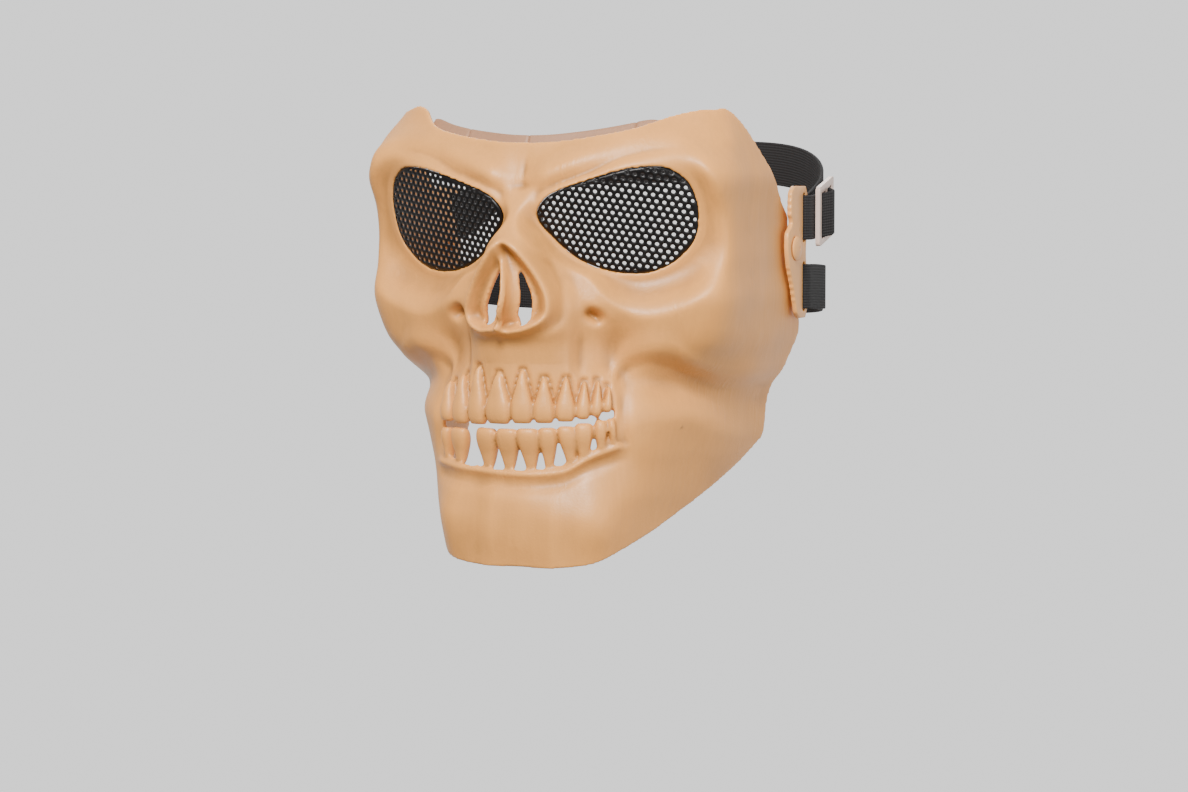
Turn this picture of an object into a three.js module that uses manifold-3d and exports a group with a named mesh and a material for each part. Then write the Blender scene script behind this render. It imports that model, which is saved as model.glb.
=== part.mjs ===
// A rigid skull mask with perforated eye plates, held on by two elastic straps.
// Millimetres, +Z up. The face looks along -Y and the wearer's left is +X.
// Heights are worked out from the inner corners of the eyes, depths from the root of the nose.
import * as THREE from 'three';
import { mergeVertices } from 'three/addons/utils/BufferGeometryUtils.js';
import Module from 'manifold-3d';

const wasm = await Module();
wasm.setup();

// Main sizes of the moulding
const MASK_HEIGHT = 216;
const EYE_LEVEL = 0.800926 * MASK_HEIGHT;
const HALF_WIDTH = 94;
const FACE_DEPTH = 134;
const WALL = 2.6;
const CLEARANCE = 0.3;
const SPINE_DEPTH = 62;

// Relief on the face
const BROW_RISE = 4.5;
const BROW_SPREAD = 0.037;
const BROW_FADE = 0.7;
const NOSE_RISE = 19;
const NOSE_HALF_WIDTH = 22.5;
const NOSE_HEIGHT = 43;
const NOSE_FOOT = -0.287037 * MASK_HEIGHT;
const SOCKET_REACH = 1.22;
const SOCKET_SLOPE = 0.4;
const SOCKET_END = 46;

// Eyes and their plates
const EYE_SIDE = 45;
const EYE_HEIGHT = -0.041667 * MASK_HEIGHT;
const EYE_REACH = 36;
const PLATE_DEPTH = 10.5;
const PLATE_SWEEP = 0.384;
const PLATE_LEAN = 0.307;
const PLATE_CURVE_RADIUS = 165;
const PLATE_THICKNESS = 1.4;
const HOLE_PITCH = 7.4;
const HOLE_RADIUS = 2.3;
const HOLE_SIDES = 6;
const PLATE_BORDER = 5;
const PLATE_CLEARANCE = 0.4;

// Teeth
const ARCH_HALF = 45;
const BITE_HEIGHT = -0.486111 * MASK_HEIGHT;
const TOOTH_REACH = 26;
const TOOTH_PROUD = 2.7;
const BITE_GAP = 4.2;
const LOWER_TOOTH_INSET = 0.8;

// Strip behind the forehead rim
const TRIM_REACH = 0.46;
const TRIM_THICKNESS = 1.6;
const TRIM_SHOWN = 4.4;
const TRIM_GAP = 1.15;
const TRIM_HIDDEN = 7;
const TRIM_END = 0.4;
const TRIM_FADE = 10;

// Brackets, rivets and straps
const BRACKET_THICKNESS = 2.4;
const BRACKET_STANDOFF = 0.7;
const BRACKET_HEIGHT = 65;
const BRACKET_DEPTH = 28;
const BRACKET_WAIST_CUT = 2;
const BRACKET_CORNER = 5;
const NOTCH_MARGIN = 1.5;
const RIVET_DEPTH = 111.5;
const RIVET_HEIGHT = -0.111111 * MASK_HEIGHT;
const RIVET_HEAD_RADIUS = 6;
const RIVET_HEAD_HEIGHT = 2.4;
const RIVET_SHANK_RADIUS = 2.6;
const RIVET_DISC_HEIGHT = 1.4;
const RIVET_DISC_SHARE = 0.8;
const STRAP_WIDTH = 22;
const STRAP_THICKNESS = 1.6;
const STRAP_PLAY = 1;
const STRAP_SEAT = 0.7;
const STRAP_DROP = 2;
const SLOT_WIDTH = 3.2;
const SLOT_BACK = 3.6;
const STRAP_SPACING = 34;
const STRAP_STRAIGHT = 31.3;
const STRAP_ROUND = 55;
const TAIL_LENGTH = 26;
const SLIDE_TAIL_LENGTH = 36;
const UPPER_RISE = 28;
const LOWER_RISE = -6;
const SLIDE_LENGTH = 21;
const SLIDE_THICKNESS = 2.2;
const SLIDE_BORDER = 3.2;
const SLIDE_BAR = 2.4;
const SLIDE_FROM_SLOT = 9.3;
const SLIDE_LIFT = 2.4;
const SLIDE_SLACK = 0.6;

// Where the wearer's brow bears on the inside: this point becomes the origin
const SEAT_HEIGHT = 12;

// Sections across the face, from the horn tips down to the chin.
// level: share of MASK_HEIGHT above the chin
// side: shares of HALF_WIDTH, depth: shares of FACE_DEPTH, from the middle line to the rear edge
const SECTIONS = [
  {
    level: 0.000,
    side: [0, 0.21, 0.385, 0.48, 0.565, 0.63, 0.66],
    depth: [-0.035, -0.03, 0.015, 0.11, 0.27, 0.46, 0.655],
  },
  {
    level: 0.106,
    side: [0, 0.21, 0.415, 0.52, 0.615, 0.69, 0.725],
    depth: [-0.06, -0.05, -0.015, 0.095, 0.285, 0.49, 0.71],
  },
  {
    level: 0.222,
    side: [0, 0.19, 0.385, 0.575, 0.70, 0.80, 0.83],
    depth: [-0.035, -0.015, 0.03, 0.14, 0.33, 0.55, 0.785],
  },
  {
    level: 0.319,
    side: [0, 0.19, 0.385, 0.615, 0.755, 0.86, 0.895],
    depth: [-0.075, -0.045, 0.015, 0.14, 0.32, 0.55, 0.835],
  },
  {
    level: 0.407,
    side: [0, 0.19, 0.385, 0.64, 0.80, 0.915, 0.935],
    depth: [-0.075, -0.045, 0.03, 0.15, 0.315, 0.55, 0.88],
  },
  {
    level: 0.495,
    side: [0, 0.19, 0.405, 0.71, 0.925, 0.98, 0.97],
    depth: [-0.065, -0.04, 0.06, 0.135, 0.245, 0.51, 0.99],
  },
  {
    level: 0.579,
    side: [0, 0.21, 0.445, 0.745, 0.97, 1.0, 0.98],
    depth: [-0.05, -0.01, 0.05, 0.12, 0.21, 0.48, 0.955],
  },
  {
    level: 0.662,
    side: [0, 0.21, 0.48, 0.765, 0.97, 1.0, 0.98],
    depth: [-0.02, 0.015, 0.075, 0.135, 0.215, 0.465, 0.895],
  },
  {
    level: 0.764,
    side: [0, 0.21, 0.48, 0.775, 0.97, 1.0, 0.98],
    depth: [0, 0.02, 0.075, 0.15, 0.225, 0.45, 0.85],
  },
  {
    level: 0.856,
    side: [0, 0.21, 0.48, 0.765, 0.97, 1.0, 0.98],
    depth: [0.015, 0.015, 0.05, 0.11, 0.20, 0.45, 0.805],
  },
  {
    level: 0.930,
    side: [0, 0.21, 0.48, 0.745, 0.935, 0.97, 0.97],
    depth: [0.065, 0.075, 0.11, 0.18, 0.275, 0.44, 0.775],
  },
  {
    level: 1.000,
    side: [0, 0.21, 0.48, 0.68, 0.85, 0.915, 0.95],
    depth: [0.12, 0.125, 0.17, 0.23, 0.315, 0.435, 0.745],
  },
];

// Levels of the upper and lower edge at the same seven stations
const TOP_EDGE = [0.928, 0.933, 0.954, 0.986, 1.0, 0.977, 0.764];
const BOTTOM_EDGE = [0, 0, 0.01, 0.037, 0.083, 0.157, 0.26];

// Soft dents and swellings, mirrored on both sides.
// side and sideSpread: shares of HALF_WIDTH, level and levelSpread: shares of MASK_HEIGHT,
// rise: share of FACE_DEPTH
const SWELLINGS = [
  {
    name: 'pit below the eye',
    side: 0.39, level: 0.552, sideSpread: 0.045, levelSpread: 0.017, rise: -0.022,
  },
  {
    name: 'canine hollow',
    side: 0.5, level: 0.458, sideSpread: 0.09, levelSpread: 0.06, rise: -0.026,
  },
  {
    name: 'cheekbone',
    side: 0.77, level: 0.588, sideSpread: 0.17, levelSpread: 0.042, rise: 0.012,
  },
  {
    name: 'hollow below the cheekbone',
    side: 0.70, level: 0.412, sideSpread: 0.11, levelSpread: 0.05, rise: -0.024,
  },
  {
    name: 'jaw muscle band',
    side: 0.80, level: 0.30, sideSpread: 0.07, levelSpread: 0.09, rise: 0.012,
  },
];

// Crest line of the brow. side: share of HALF_WIDTH, level: share of MASK_HEIGHT
const BROW_LINE = [
  { side: 0, level: 0.838 },
  { side: 0.1, level: 0.852 },
  { side: 0.3, level: 0.894 },
  { side: 0.48, level: 0.917 },
  { side: 0.63, level: 0.926 },
  { side: 0.745, level: 0.917 },
  { side: 0.85, level: 0.889 },
  { side: 0.96, level: 0.847 },
];

// Mound of the nose. height: share of NOSE_HEIGHT above NOSE_FOOT,
// rise: share of NOSE_RISE, half: share of NOSE_HALF_WIDTH
const NOSE_MOUND = [
  { height: -0.33, rise: 0, half: 1.1 },
  { height: -0.1, rise: 0.18, half: 1.08 },
  { height: 0.1, rise: 0.62, half: 1.03 },
  { height: 0.33, rise: 0.9, half: 0.98 },
  { height: 0.65, rise: 1, half: 0.75 },
  { height: 0.93, rise: 1, half: 0.53 },
  { height: 1.16, rise: 0.68, half: 0.4 },
  { height: 1.35, rise: 0.37, half: 0.36 },
  { height: 1.58, rise: 0.08, half: 0.36 },
  { height: 1.77, rise: 0, half: 0.36 },
];

// One nostril. side: share of NOSE_HALF_WIDTH, height: share of NOSE_HEIGHT above NOSE_FOOT
const NOSTRIL = [
  { side: 0.10, height: 0.8 },
  { side: 0.14, height: 0.28 },
  { side: 0.2, height: 0.1 },
  { side: 0.4, height: 0.1 },
  { side: 0.54, height: 0.22 },
  { side: 0.54, height: 0.37 },
  { side: 0.43, height: 0.56 },
  { side: 0.27, height: 0.73 },
];

// Outline of an eye. angle: degrees from the outer side upwards, reach: share of EYE_REACH
const EYE_OUTLINE = [
  { angle: 0, reach: 0.95 },
  { angle: 15, reach: 0.985 },
  { angle: 30, reach: 1.0 },
  { angle: 45, reach: 0.93 },
  { angle: 60, reach: 0.775 },
  { angle: 75, reach: 0.66 },
  { angle: 90, reach: 0.595 },
  { angle: 105, reach: 0.57 },
  { angle: 120, reach: 0.585 },
  { angle: 135, reach: 0.64 },
  { angle: 150, reach: 0.76 },
  { angle: 165, reach: 0.93 },
  { angle: 178, reach: 1.0 },
  { angle: 195, reach: 0.865 },
  { angle: 210, reach: 0.78 },
  { angle: 240, reach: 0.7 },
  { angle: 270, reach: 0.695 },
  { angle: 300, reach: 0.77 },
  { angle: 330, reach: 0.865 },
  { angle: 345, reach: 0.925 },
];

// Teeth. side and half: shares of ARCH_HALF, bite and root: shares of TOOTH_REACH from BITE_HEIGHT
const UPPER_TEETH = [
  { side: -0.90, half: 0.10, bite: -0.02, root: 0.72 },
  { side: -0.68, half: 0.12, bite: -0.04, root: 0.86 },
  { side: -0.44, half: 0.12, bite: -0.03, root: 1.02 },
  { side: -0.16, half: 0.155, bite: 0, root: 0.92 },
  { side: 0.115, half: 0.117, bite: 0.02, root: 0.98 },
  { side: 0.34, half: 0.11, bite: 0.03, root: 0.84 },
  { side: 0.55, half: 0.10, bite: 0.06, root: 0.84 },
  { side: 0.716, half: 0.07, bite: 0.1, root: 0.78 },
  { side: 0.835, half: 0.053, bite: 0.15, root: 0.80 },
  { side: 0.93, half: 0.044, bite: 0.22, root: 0.70 },
];
const LOWER_TEETH = [
  { side: -0.95, half: 0.07, lean: 0.0, root: -0.80 },
  { side: -0.745, half: 0.122, lean: 0.0, root: -0.84 },
  { side: -0.36, half: 0.135, lean: 0.0, root: -0.88 },
  { side: -0.088, half: 0.128, lean: -0.01, root: -0.90 },
  { side: 0.154, half: 0.12, lean: 0.0, root: -0.90 },
  { side: 0.364, half: 0.096, lean: -0.02, root: -0.86 },
  { side: 0.547, half: 0.092, lean: 0.03, root: -0.82 },
  { side: 0.727, half: 0.094, lean: -0.03, root: -0.74 },
  { side: 0.878, half: 0.063, lean: -0.01, root: -0.64 },
  { side: 0.97, half: 0.04, lean: 0.02, root: -0.56 },
];

// Upper and lower edge of the opening between the jaws.
// side: share of ARCH_HALF, top and bottom: shares of TOOTH_REACH from BITE_HEIGHT
const MOUTH_EDGE = [
  { side: -1.04, top: 0.0, bottom: -0.5 },
  { side: -0.92, top: 0.02, bottom: -0.66 },
  { side: -0.6, top: 0.05, bottom: -0.78 },
  { side: 0.1, top: 0.08, bottom: -0.84 },
  { side: 0.5, top: 0.12, bottom: -0.72 },
  { side: 0.78, top: 0.2, bottom: -0.48 },
  { side: 0.98, top: 0.27, bottom: -0.26 },
];

// Width and depth of a tooth from its biting edge to the tip of its root
const TOOTH_PROFILE = [
  { along: 0, width: 0.9, depth: 0.75 },
  { along: 0.25, width: 1.04, depth: 1.0 },
  { along: 0.5, width: 0.9, depth: 0.9 },
  { along: 0.78, width: 0.6, depth: 0.62 },
  { along: 1, width: 0.2, depth: 0.12 },
];

// Front edge of a bracket from its foot to its top, with a nose round the rivet.
// rise: share of BRACKET_HEIGHT, cut: share of BRACKET_DEPTH behind the foremost point
const BRACKET_EDGE = [
  { rise: 0, cut: 0.62 },
  { rise: 0.04, cut: 0.47 },
  { rise: 0.13, cut: 0.38 },
  { rise: 0.26, cut: 0.25 },
  { rise: 0.38, cut: 0.1 },
  { rise: 0.48, cut: 0.02 },
  { rise: 0.57, cut: 0 },
  { rise: 0.65, cut: 0.03 },
  { rise: 0.69, cut: 0.16 },
  { rise: 0.73, cut: 0.23 },
  { rise: 0.78, cut: 0.16 },
  { rise: 0.88, cut: 0.16 },
  { rise: 0.96, cut: 0.2 },
  { rise: 1, cut: 0.34 },
];

// Counts of faces
const FACE_COLUMNS = 52;
const FACE_ROWS = 34;
const COLUMN_CROWDING = 1.4;
const TOOTH_SIDES = 6;
const MOUTH_STEPS = 16;
const MOUTH_CUT_OUT = 3;
const MOUTH_CUT_IN = 4;
const TRIM_STEPS = 18;
const STRAP_STEPS = 26;
const LOOP_STEPS = 6;
const RIVET_SIDES = 12;

// Smooth curve through evenly numbered values, with mirrored first and last steps
function curveThrough(values, t) {
  const last = values.length - 1;
  const k = Math.min(Math.max(Math.floor(t), 0), last - 1);
  const f = t - k;
  const b = values[k];
  const c = values[k + 1];
  const a = k > 0 ? values[k - 1] : 2 * b - c;
  const d = k + 2 <= last ? values[k + 2] : 2 * c - b;
  return b + 0.5 * f * (c - a + f * (2 * a - 5 * b + 4 * c - d + f * (3 * (b - c) + d - a)));
}

// The place of a value in a rising column, as a fractional row number
function rowOf(column, value) {
  const last = column.length - 1;
  if (value <= column[0]) return (value - column[0]) / (column[1] - column[0]);
  for (let k = 0; k < last; k += 1) {
    if (value <= column[k + 1]) return k + (value - column[k]) / (column[k + 1] - column[k]);
  }
  return last + (value - column[last]) / (column[last] - column[last - 1]);
}

function lookUp(table, key, value, wanted) {
  const row = rowOf(table.map((entry) => entry[key]), value);
  const clamped = Math.min(Math.max(row, 0), table.length - 1);
  return curveThrough(table.map((entry) => entry[wanted]), clamped);
}

const bell = (x, middle, spread) => Math.exp(-(((x - middle) / spread) ** 2));
const ease = (x) => x * x * (3 - 2 * x);
const ramp = (x, from, to) => ease(Math.min(Math.max((x - from) / (to - from), 0), 1));

const heightOf = (level) => level * MASK_HEIGHT - EYE_LEVEL;
const levelOf = (z) => (z + EYE_LEVEL) / MASK_HEIGHT;
const biteHeight = (share) => BITE_HEIGHT + share * TOOTH_REACH;

// The plain form: across runs from -1 at the right rear edge to 1 at the left rear edge
const STATIONS = SECTIONS[0].side.length - 1;
const LEVELS = SECTIONS.map((section) => section.level);
function plainForm(across, z) {
  const row = rowOf(LEVELS, levelOf(z));
  const t = Math.abs(across) * STATIONS + 1;
  const side = [];
  const depth = [];
  for (let k = 0; k <= STATIONS; k += 1) {
    side.push(HALF_WIDTH * curveThrough(SECTIONS.map((section) => section.side[k]), row));
    depth.push(FACE_DEPTH * curveThrough(SECTIONS.map((section) => section.depth[k]), row));
  }
  const x = curveThrough([-side[1], ...side], t);
  const y = curveThrough([depth[1], ...depth], t);
  return { x: Math.sign(across) * x, y };
}

function edgeHeight(edge, across) {
  const t = Math.abs(across) * STATIONS + 1;
  return heightOf(curveThrough([edge[1], ...edge], t));
}

// Distance from the middle of the eye, 1 on its outline
function eyeShare(x, z) {
  const dx = Math.abs(x) - EYE_SIDE;
  const dz = z - EYE_HEIGHT;
  const angle = (THREE.MathUtils.radToDeg(Math.atan2(dz, dx)) + 360) % 360;
  const closed = [...EYE_OUTLINE, { angle: 360, reach: EYE_OUTLINE[0].reach }];
  return Math.hypot(dx, dz) / (EYE_REACH * lookUp(closed, 'angle', angle, 'reach'));
}

// The socket ends close to the eye at the brow and nose, and runs out further below and at the temple
function socketReach(x, z) {
  const dx = Math.abs(x) - EYE_SIDE;
  const dz = z - EYE_HEIGHT;
  const length = Math.max(Math.hypot(dx, dz), 1);
  const outer = ramp(dx / length, -0.5, 0.3);
  const low = ramp(-dz / length, -0.3, 0.3);
  return SOCKET_REACH + SOCKET_SLOPE * outer * (0.4 + 0.6 * low);
}

// Depth of the face of an eye plate, leaning forward at the brow and swept back at the temple
function plateDepth(x, z) {
  const dx = Math.abs(x) - EYE_SIDE;
  const bend = (dx * dx) / (2 * PLATE_CURVE_RADIUS);
  return PLATE_DEPTH + PLATE_SWEEP * dx - PLATE_LEAN * (z - EYE_HEIGHT) + bend;
}

// How far the bone form stands out from the plain form
function relief(x, z) {
  const side = Math.abs(x) / HALF_WIDTH;
  const level = levelOf(z);
  const noseHeight = (z - NOSE_FOOT) / NOSE_HEIGHT;
  const crest = lookUp(BROW_LINE, 'side', side, 'level');
  const fade = ramp(side, 0.02, 0.15) * (1 - BROW_FADE * ramp(side, 0.8, 1));
  let rise = BROW_RISE * bell(level, crest, BROW_SPREAD) * fade;
  const half = NOSE_HALF_WIDTH * lookUp(NOSE_MOUND, 'height', noseHeight, 'half');
  rise += NOSE_RISE * lookUp(NOSE_MOUND, 'height', noseHeight, 'rise') * Math.exp(-0.9 * (x / half) ** 4);
  for (const dent of SWELLINGS) {
    const weight = bell(side, dent.side, dent.sideSpread) * bell(level, dent.level, dent.levelSpread);
    rise += FACE_DEPTH * dent.rise * weight;
  }
  return rise;
}

// A point of the outer face
function facePoint(across, z) {
  const plain = plainForm(across, z);
  const rise = relief(plain.x, z);
  const turn = Math.atan2(plain.x, SPINE_DEPTH - plain.y);
  const x = plain.x + rise * Math.sin(turn);
  let y = plain.y - rise * Math.cos(turn);
  const front = 1 - ramp(y, SOCKET_END / 2, SOCKET_END);
  const socket = front * (1 - ramp(eyeShare(x, z), 1, socketReach(x, z)));
  y += socket * (plateDepth(x, z) - PLATE_THICKNESS / 2 - y);
  return new THREE.Vector3(x, y, z);
}

// The outward direction of the face, worked out from its neighbours
function faceNormal(across, z) {
  const stepAcross = 0.01;
  const stepUp = 1.5;
  const right = facePoint(across + stepAcross, z).sub(facePoint(across - stepAcross, z));
  const up = facePoint(across, z + stepUp).sub(facePoint(across, z - stepUp));
  return right.cross(up).normalize();
}

// The share across at which the face has a given side distance
function acrossOf(x, z) {
  let low = -0.75;
  let high = 0.75;
  for (let k = 0; k < 24; k += 1) {
    const middle = (low + high) / 2;
    if (facePoint(middle, z).x < x) low = middle;
    else high = middle;
  }
  return (low + high) / 2;
}

function offsetPoint(across, z, outward) {
  return facePoint(across, z).addScaledVector(faceNormal(across, z), outward);
}

// Moves every vertex of a geometry by a function of its old place
function reshape(geometry, move) {
  const places = geometry.getAttribute('position');
  const point = new THREE.Vector3();
  for (let k = 0; k < places.count; k += 1) {
    point.fromBufferAttribute(places, k);
    const moved = move(point);
    places.setXYZ(k, moved.x, moved.y, moved.z);
  }
  return geometry;
}

function weld(geometry) {
  const bare = geometry.clone();
  bare.deleteAttribute('normal');
  bare.deleteAttribute('uv');
  return mergeVertices(bare, 1e-4);
}

function toSolid(geometry) {
  const welded = weld(geometry);
  const triVerts = new Uint32Array(welded.index.array);
  const vertProperties = new Float32Array(welded.getAttribute('position').array);
  return new wasm.Manifold(new wasm.Mesh({ numProp: 3, vertProperties, triVerts }));
}

function toGeometry(solid) {
  const mesh = solid.getMesh();
  const geometry = new THREE.BufferGeometry();
  geometry.setAttribute('position', new THREE.BufferAttribute(new Float32Array(mesh.vertProperties), 3));
  geometry.setIndex(new THREE.BufferAttribute(new Uint32Array(mesh.triVerts), 1));
  geometry.computeVertexNormals();
  return geometry;
}

function roundHole(x, y, radius, sides) {
  const points = [];
  for (let k = 0; k < sides; k += 1) {
    const turn = (k / sides) * 2 * Math.PI;
    points.push(new THREE.Vector2(x + radius * Math.cos(turn), y + radius * Math.sin(turn)));
  }
  return new THREE.Path(points);
}

// Turns a flat shape drawn in x and z into a prism along Y
function prismAlongY(shape, from, to) {
  const geometry = new THREE.ExtrudeGeometry(shape, { depth: to - from, bevelEnabled: false });
  geometry.rotateX(Math.PI / 2);
  geometry.translate(0, to, 0);
  return geometry;
}

// The hollow face: a fine outer skin and a coarser inner skin, joined round their rims
function rimLoop(columns, rows, first) {
  const loop = [];
  const at = (column, row) => first + row * (columns + 1) + column;
  for (let row = 0; row < rows; row += 1) loop.push(at(0, row));
  for (let column = 0; column < columns; column += 1) loop.push(at(column, rows));
  for (let row = rows; row > 0; row -= 1) loop.push(at(columns, row));
  for (let column = columns; column > 0; column -= 1) loop.push(at(column, 0));
  return loop;
}

// Two triangles to each cell, split towards the middle line on both sides alike
function mirroredFaces(columns, rows) {
  const faces = [];
  for (let row = 0; row < rows; row += 1) {
    for (let column = 0; column < columns; column += 1) {
      const a = column + (columns + 1) * row;
      const b = a + columns + 1;
      const c = b + 1;
      const d = a + 1;
      if (column < columns / 2) faces.push(a, b, d, b, c, d);
      else faces.push(a, b, c, a, c, d);
    }
  }
  return faces;
}

function skin(columns, rows, place) {
  const sheet = new THREE.PlaneGeometry(2, 2, columns, rows);
  sheet.setIndex(mirroredFaces(columns, rows));
  return reshape(sheet, (point) => {
    const across = Math.sign(point.x) * Math.abs(point.x) ** COLUMN_CROWDING;
    const top = edgeHeight(TOP_EDGE, across);
    const bottom = edgeHeight(BOTTOM_EDGE, across);
    const z = bottom + (top - bottom) * (point.y + 1) / 2;
    return place(across, z);
  });
}

function hollowFace() {
  const outer = skin(FACE_COLUMNS, FACE_ROWS, facePoint);
  const inner = skin(FACE_COLUMNS / 2, FACE_ROWS / 2, (across, z) => offsetPoint(across, z, -WALL));
  const outerPlaces = Array.from(outer.getAttribute('position').array);
  const innerPlaces = Array.from(inner.getAttribute('position').array);
  const first = outerPlaces.length / 3;
  const faces = Array.from(outer.index.array);
  const innerFaces = Array.from(inner.index.array);
  for (let k = 0; k < innerFaces.length; k += 3) {
    faces.push(first + innerFaces[k], first + innerFaces[k + 2], first + innerFaces[k + 1]);
  }
  const outerRim = rimLoop(FACE_COLUMNS, FACE_ROWS, 0);
  const innerRim = rimLoop(FACE_COLUMNS / 2, FACE_ROWS / 2, first);
  for (let k = 0; k < innerRim.length; k += 1) {
    const a = outerRim[2 * k];
    const b = outerRim[2 * k + 1];
    const c = outerRim[(2 * k + 2) % outerRim.length];
    const i = innerRim[k];
    const j = innerRim[(k + 1) % innerRim.length];
    faces.push(b, a, i, b, i, j, c, b, j);
  }
  const geometry = new THREE.BufferGeometry();
  const places = new Float32Array([...outerPlaces, ...innerPlaces]);
  geometry.setAttribute('position', new THREE.BufferAttribute(places, 3));
  geometry.setIndex(faces);
  return toSolid(geometry);
}

// Eye outline as a flat shape in x and z, grown or shrunk by an even margin
function eyeShape(margin, sign) {
  const shape = new THREE.Shape();
  const points = EYE_OUTLINE.map(({ angle, reach }) => {
    const radius = EYE_REACH * reach + margin;
    const turn = THREE.MathUtils.degToRad(angle);
    return [sign * (EYE_SIDE + radius * Math.cos(turn)), EYE_HEIGHT + radius * Math.sin(turn)];
  });
  const ordered = sign > 0 ? points : points.reverse();
  ordered.forEach(([x, z], k) => (k ? shape.lineTo(x, z) : shape.moveTo(x, z)));
  shape.closePath();
  return shape;
}

function nostrilShape(sign) {
  const shape = new THREE.Shape();
  const points = NOSTRIL.map(({ side, height }) => [
    sign * side * NOSE_HALF_WIDTH,
    NOSE_FOOT + height * NOSE_HEIGHT,
  ]);
  points.forEach(([x, z], k) => (k ? shape.lineTo(x, z) : shape.moveTo(x, z)));
  shape.closePath();
  return shape;
}

// A block that follows the dental arch, used to open the jaws
function mouthCutter() {
  const first = MOUTH_EDGE[0].side;
  const last = MOUTH_EDGE[MOUTH_EDGE.length - 1].side;
  const block = new THREE.BoxGeometry(1, 1, 1, MOUTH_STEPS, 1, 1);
  return toSolid(reshape(block, (point) => {
    const side = first + (last - first) * (point.x + 0.5);
    const top = biteHeight(lookUp(MOUTH_EDGE, 'side', side, 'top'));
    const bottom = biteHeight(lookUp(MOUTH_EDGE, 'side', side, 'bottom'));
    const z = point.z > 0 ? top : bottom;
    const outward = point.y < 0 ? MOUTH_CUT_OUT * WALL : -MOUTH_CUT_IN * WALL;
    return offsetPoint(acrossOf(side * ARCH_HALF, z), z, outward);
  }));
}

// One tooth, an oval post with a broad crown and a thin root, on the outer face
function tooth(side, half, lean, biteZ, rootZ, set) {
  const post = new THREE.CylinderGeometry(1, 1, 1, TOOTH_SIDES, TOOTH_PROFILE.length - 1);
  return toSolid(reshape(post, (point) => {
    const share = point.y + 0.5;
    const along = rootZ > biteZ ? share : 1 - share;
    const width = half * ARCH_HALF * lookUp(TOOTH_PROFILE, 'along', along, 'width');
    const depth = TOOTH_PROUD * lookUp(TOOTH_PROFILE, 'along', along, 'depth');
    const z = biteZ + (rootZ - biteZ) * along;
    const middle = (side + lean * along) * ARCH_HALF;
    const across = acrossOf(middle, z);
    const outward = faceNormal(across, z).setZ(0).normalize();
    const along2 = new THREE.Vector3(-outward.y, outward.x, 0);
    const place = facePoint(across, z).addScaledVector(outward, set + depth * point.z);
    return place.addScaledVector(along2, width * point.x).setZ(z);
  }));
}

function rivetBore(sign) {
  const bore = new THREE.CylinderGeometry(
    RIVET_SHANK_RADIUS + CLEARANCE, RIVET_SHANK_RADIUS + CLEARANCE, 6 * WALL, RIVET_SIDES);
  bore.rotateZ(Math.PI / 2);
  bore.translate(sign * bracketSide(), RIVET_DEPTH, RIVET_HEIGHT);
  return toSolid(bore);
}

// The rear edge is cut straight behind each bracket, clear of the straps
function strapNotch(sign) {
  const notch = new THREE.BoxGeometry(8 * WALL, FACE_DEPTH, BRACKET_HEIGHT - 2 * NOTCH_MARGIN);
  const front = slotDepth() - SLOT_WIDTH / 2;
  notch.translate(sign * HALF_WIDTH, front + FACE_DEPTH / 2, RIVET_HEIGHT);
  return toSolid(notch);
}

function buildShell() {
  let solid = hollowFace();
  const cut = FACE_DEPTH / 2;
  for (const sign of [-1, 1]) {
    solid = solid.subtract(toSolid(prismAlongY(eyeShape(0, sign), -cut, cut)));
    solid = solid.subtract(toSolid(prismAlongY(nostrilShape(sign), -cut, cut)));
    solid = solid.subtract(rivetBore(sign));
    solid = solid.subtract(strapNotch(sign));
  }
  solid = solid.subtract(mouthCutter());
  for (const { side, half, bite, root } of UPPER_TEETH) {
    solid = solid.add(tooth(side, half, 0, biteHeight(bite), biteHeight(root), 0));
  }
  for (const { side, half, lean, root } of LOWER_TEETH) {
    const bite = biteHeight(lookUp(MOUTH_EDGE, 'side', side, 'top')) - BITE_GAP;
    solid = solid.add(tooth(side, half, lean, bite, biteHeight(root), -LOWER_TOOTH_INSET));
  }
  return toGeometry(solid);
}

// Perforated plate of one eye, pierced on a close-packed pattern and bent to its surface
function buildEyePlate(sign) {
  const shape = eyeShape(-PLATE_CLEARANCE, sign);
  const rowStep = HOLE_PITCH * Math.sqrt(3) / 2;
  const rows = Math.ceil(EYE_REACH / rowStep);
  for (let row = -rows; row <= rows; row += 1) {
    for (let column = -rows; column <= rows; column += 1) {
      const x = EYE_SIDE + (column + (row % 2 ? 0.5 : 0)) * HOLE_PITCH;
      const z = EYE_HEIGHT + row * rowStep;
      if (eyeShare(x, z) * EYE_REACH > EYE_REACH - PLATE_BORDER) continue;
      shape.holes.push(roundHole(sign * x, z, HOLE_RADIUS, HOLE_SIDES));
    }
  }
  const plate = prismAlongY(shape, 0, PLATE_THICKNESS);
  return reshape(plate, (point) => point.setY(point.y + plateDepth(point.x, point.z)));
}

function buildTrim() {
  const band = new THREE.BoxGeometry(2, 1, 1, TRIM_STEPS, 1, 1);
  return reshape(band, (point) => {
    const across = point.x * TRIM_REACH;
    const rim = edgeHeight(TOP_EDGE, across);
    const shown = TRIM_SHOWN * (1 - point.x ** TRIM_FADE) + TRIM_END;
    const z = point.z > 0 ? rim + shown : rim - TRIM_HIDDEN;
    const inward = WALL + TRIM_GAP + (point.y > 0 ? TRIM_THICKNESS : 0);
    return offsetPoint(across, z, -inward);
  });
}

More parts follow.
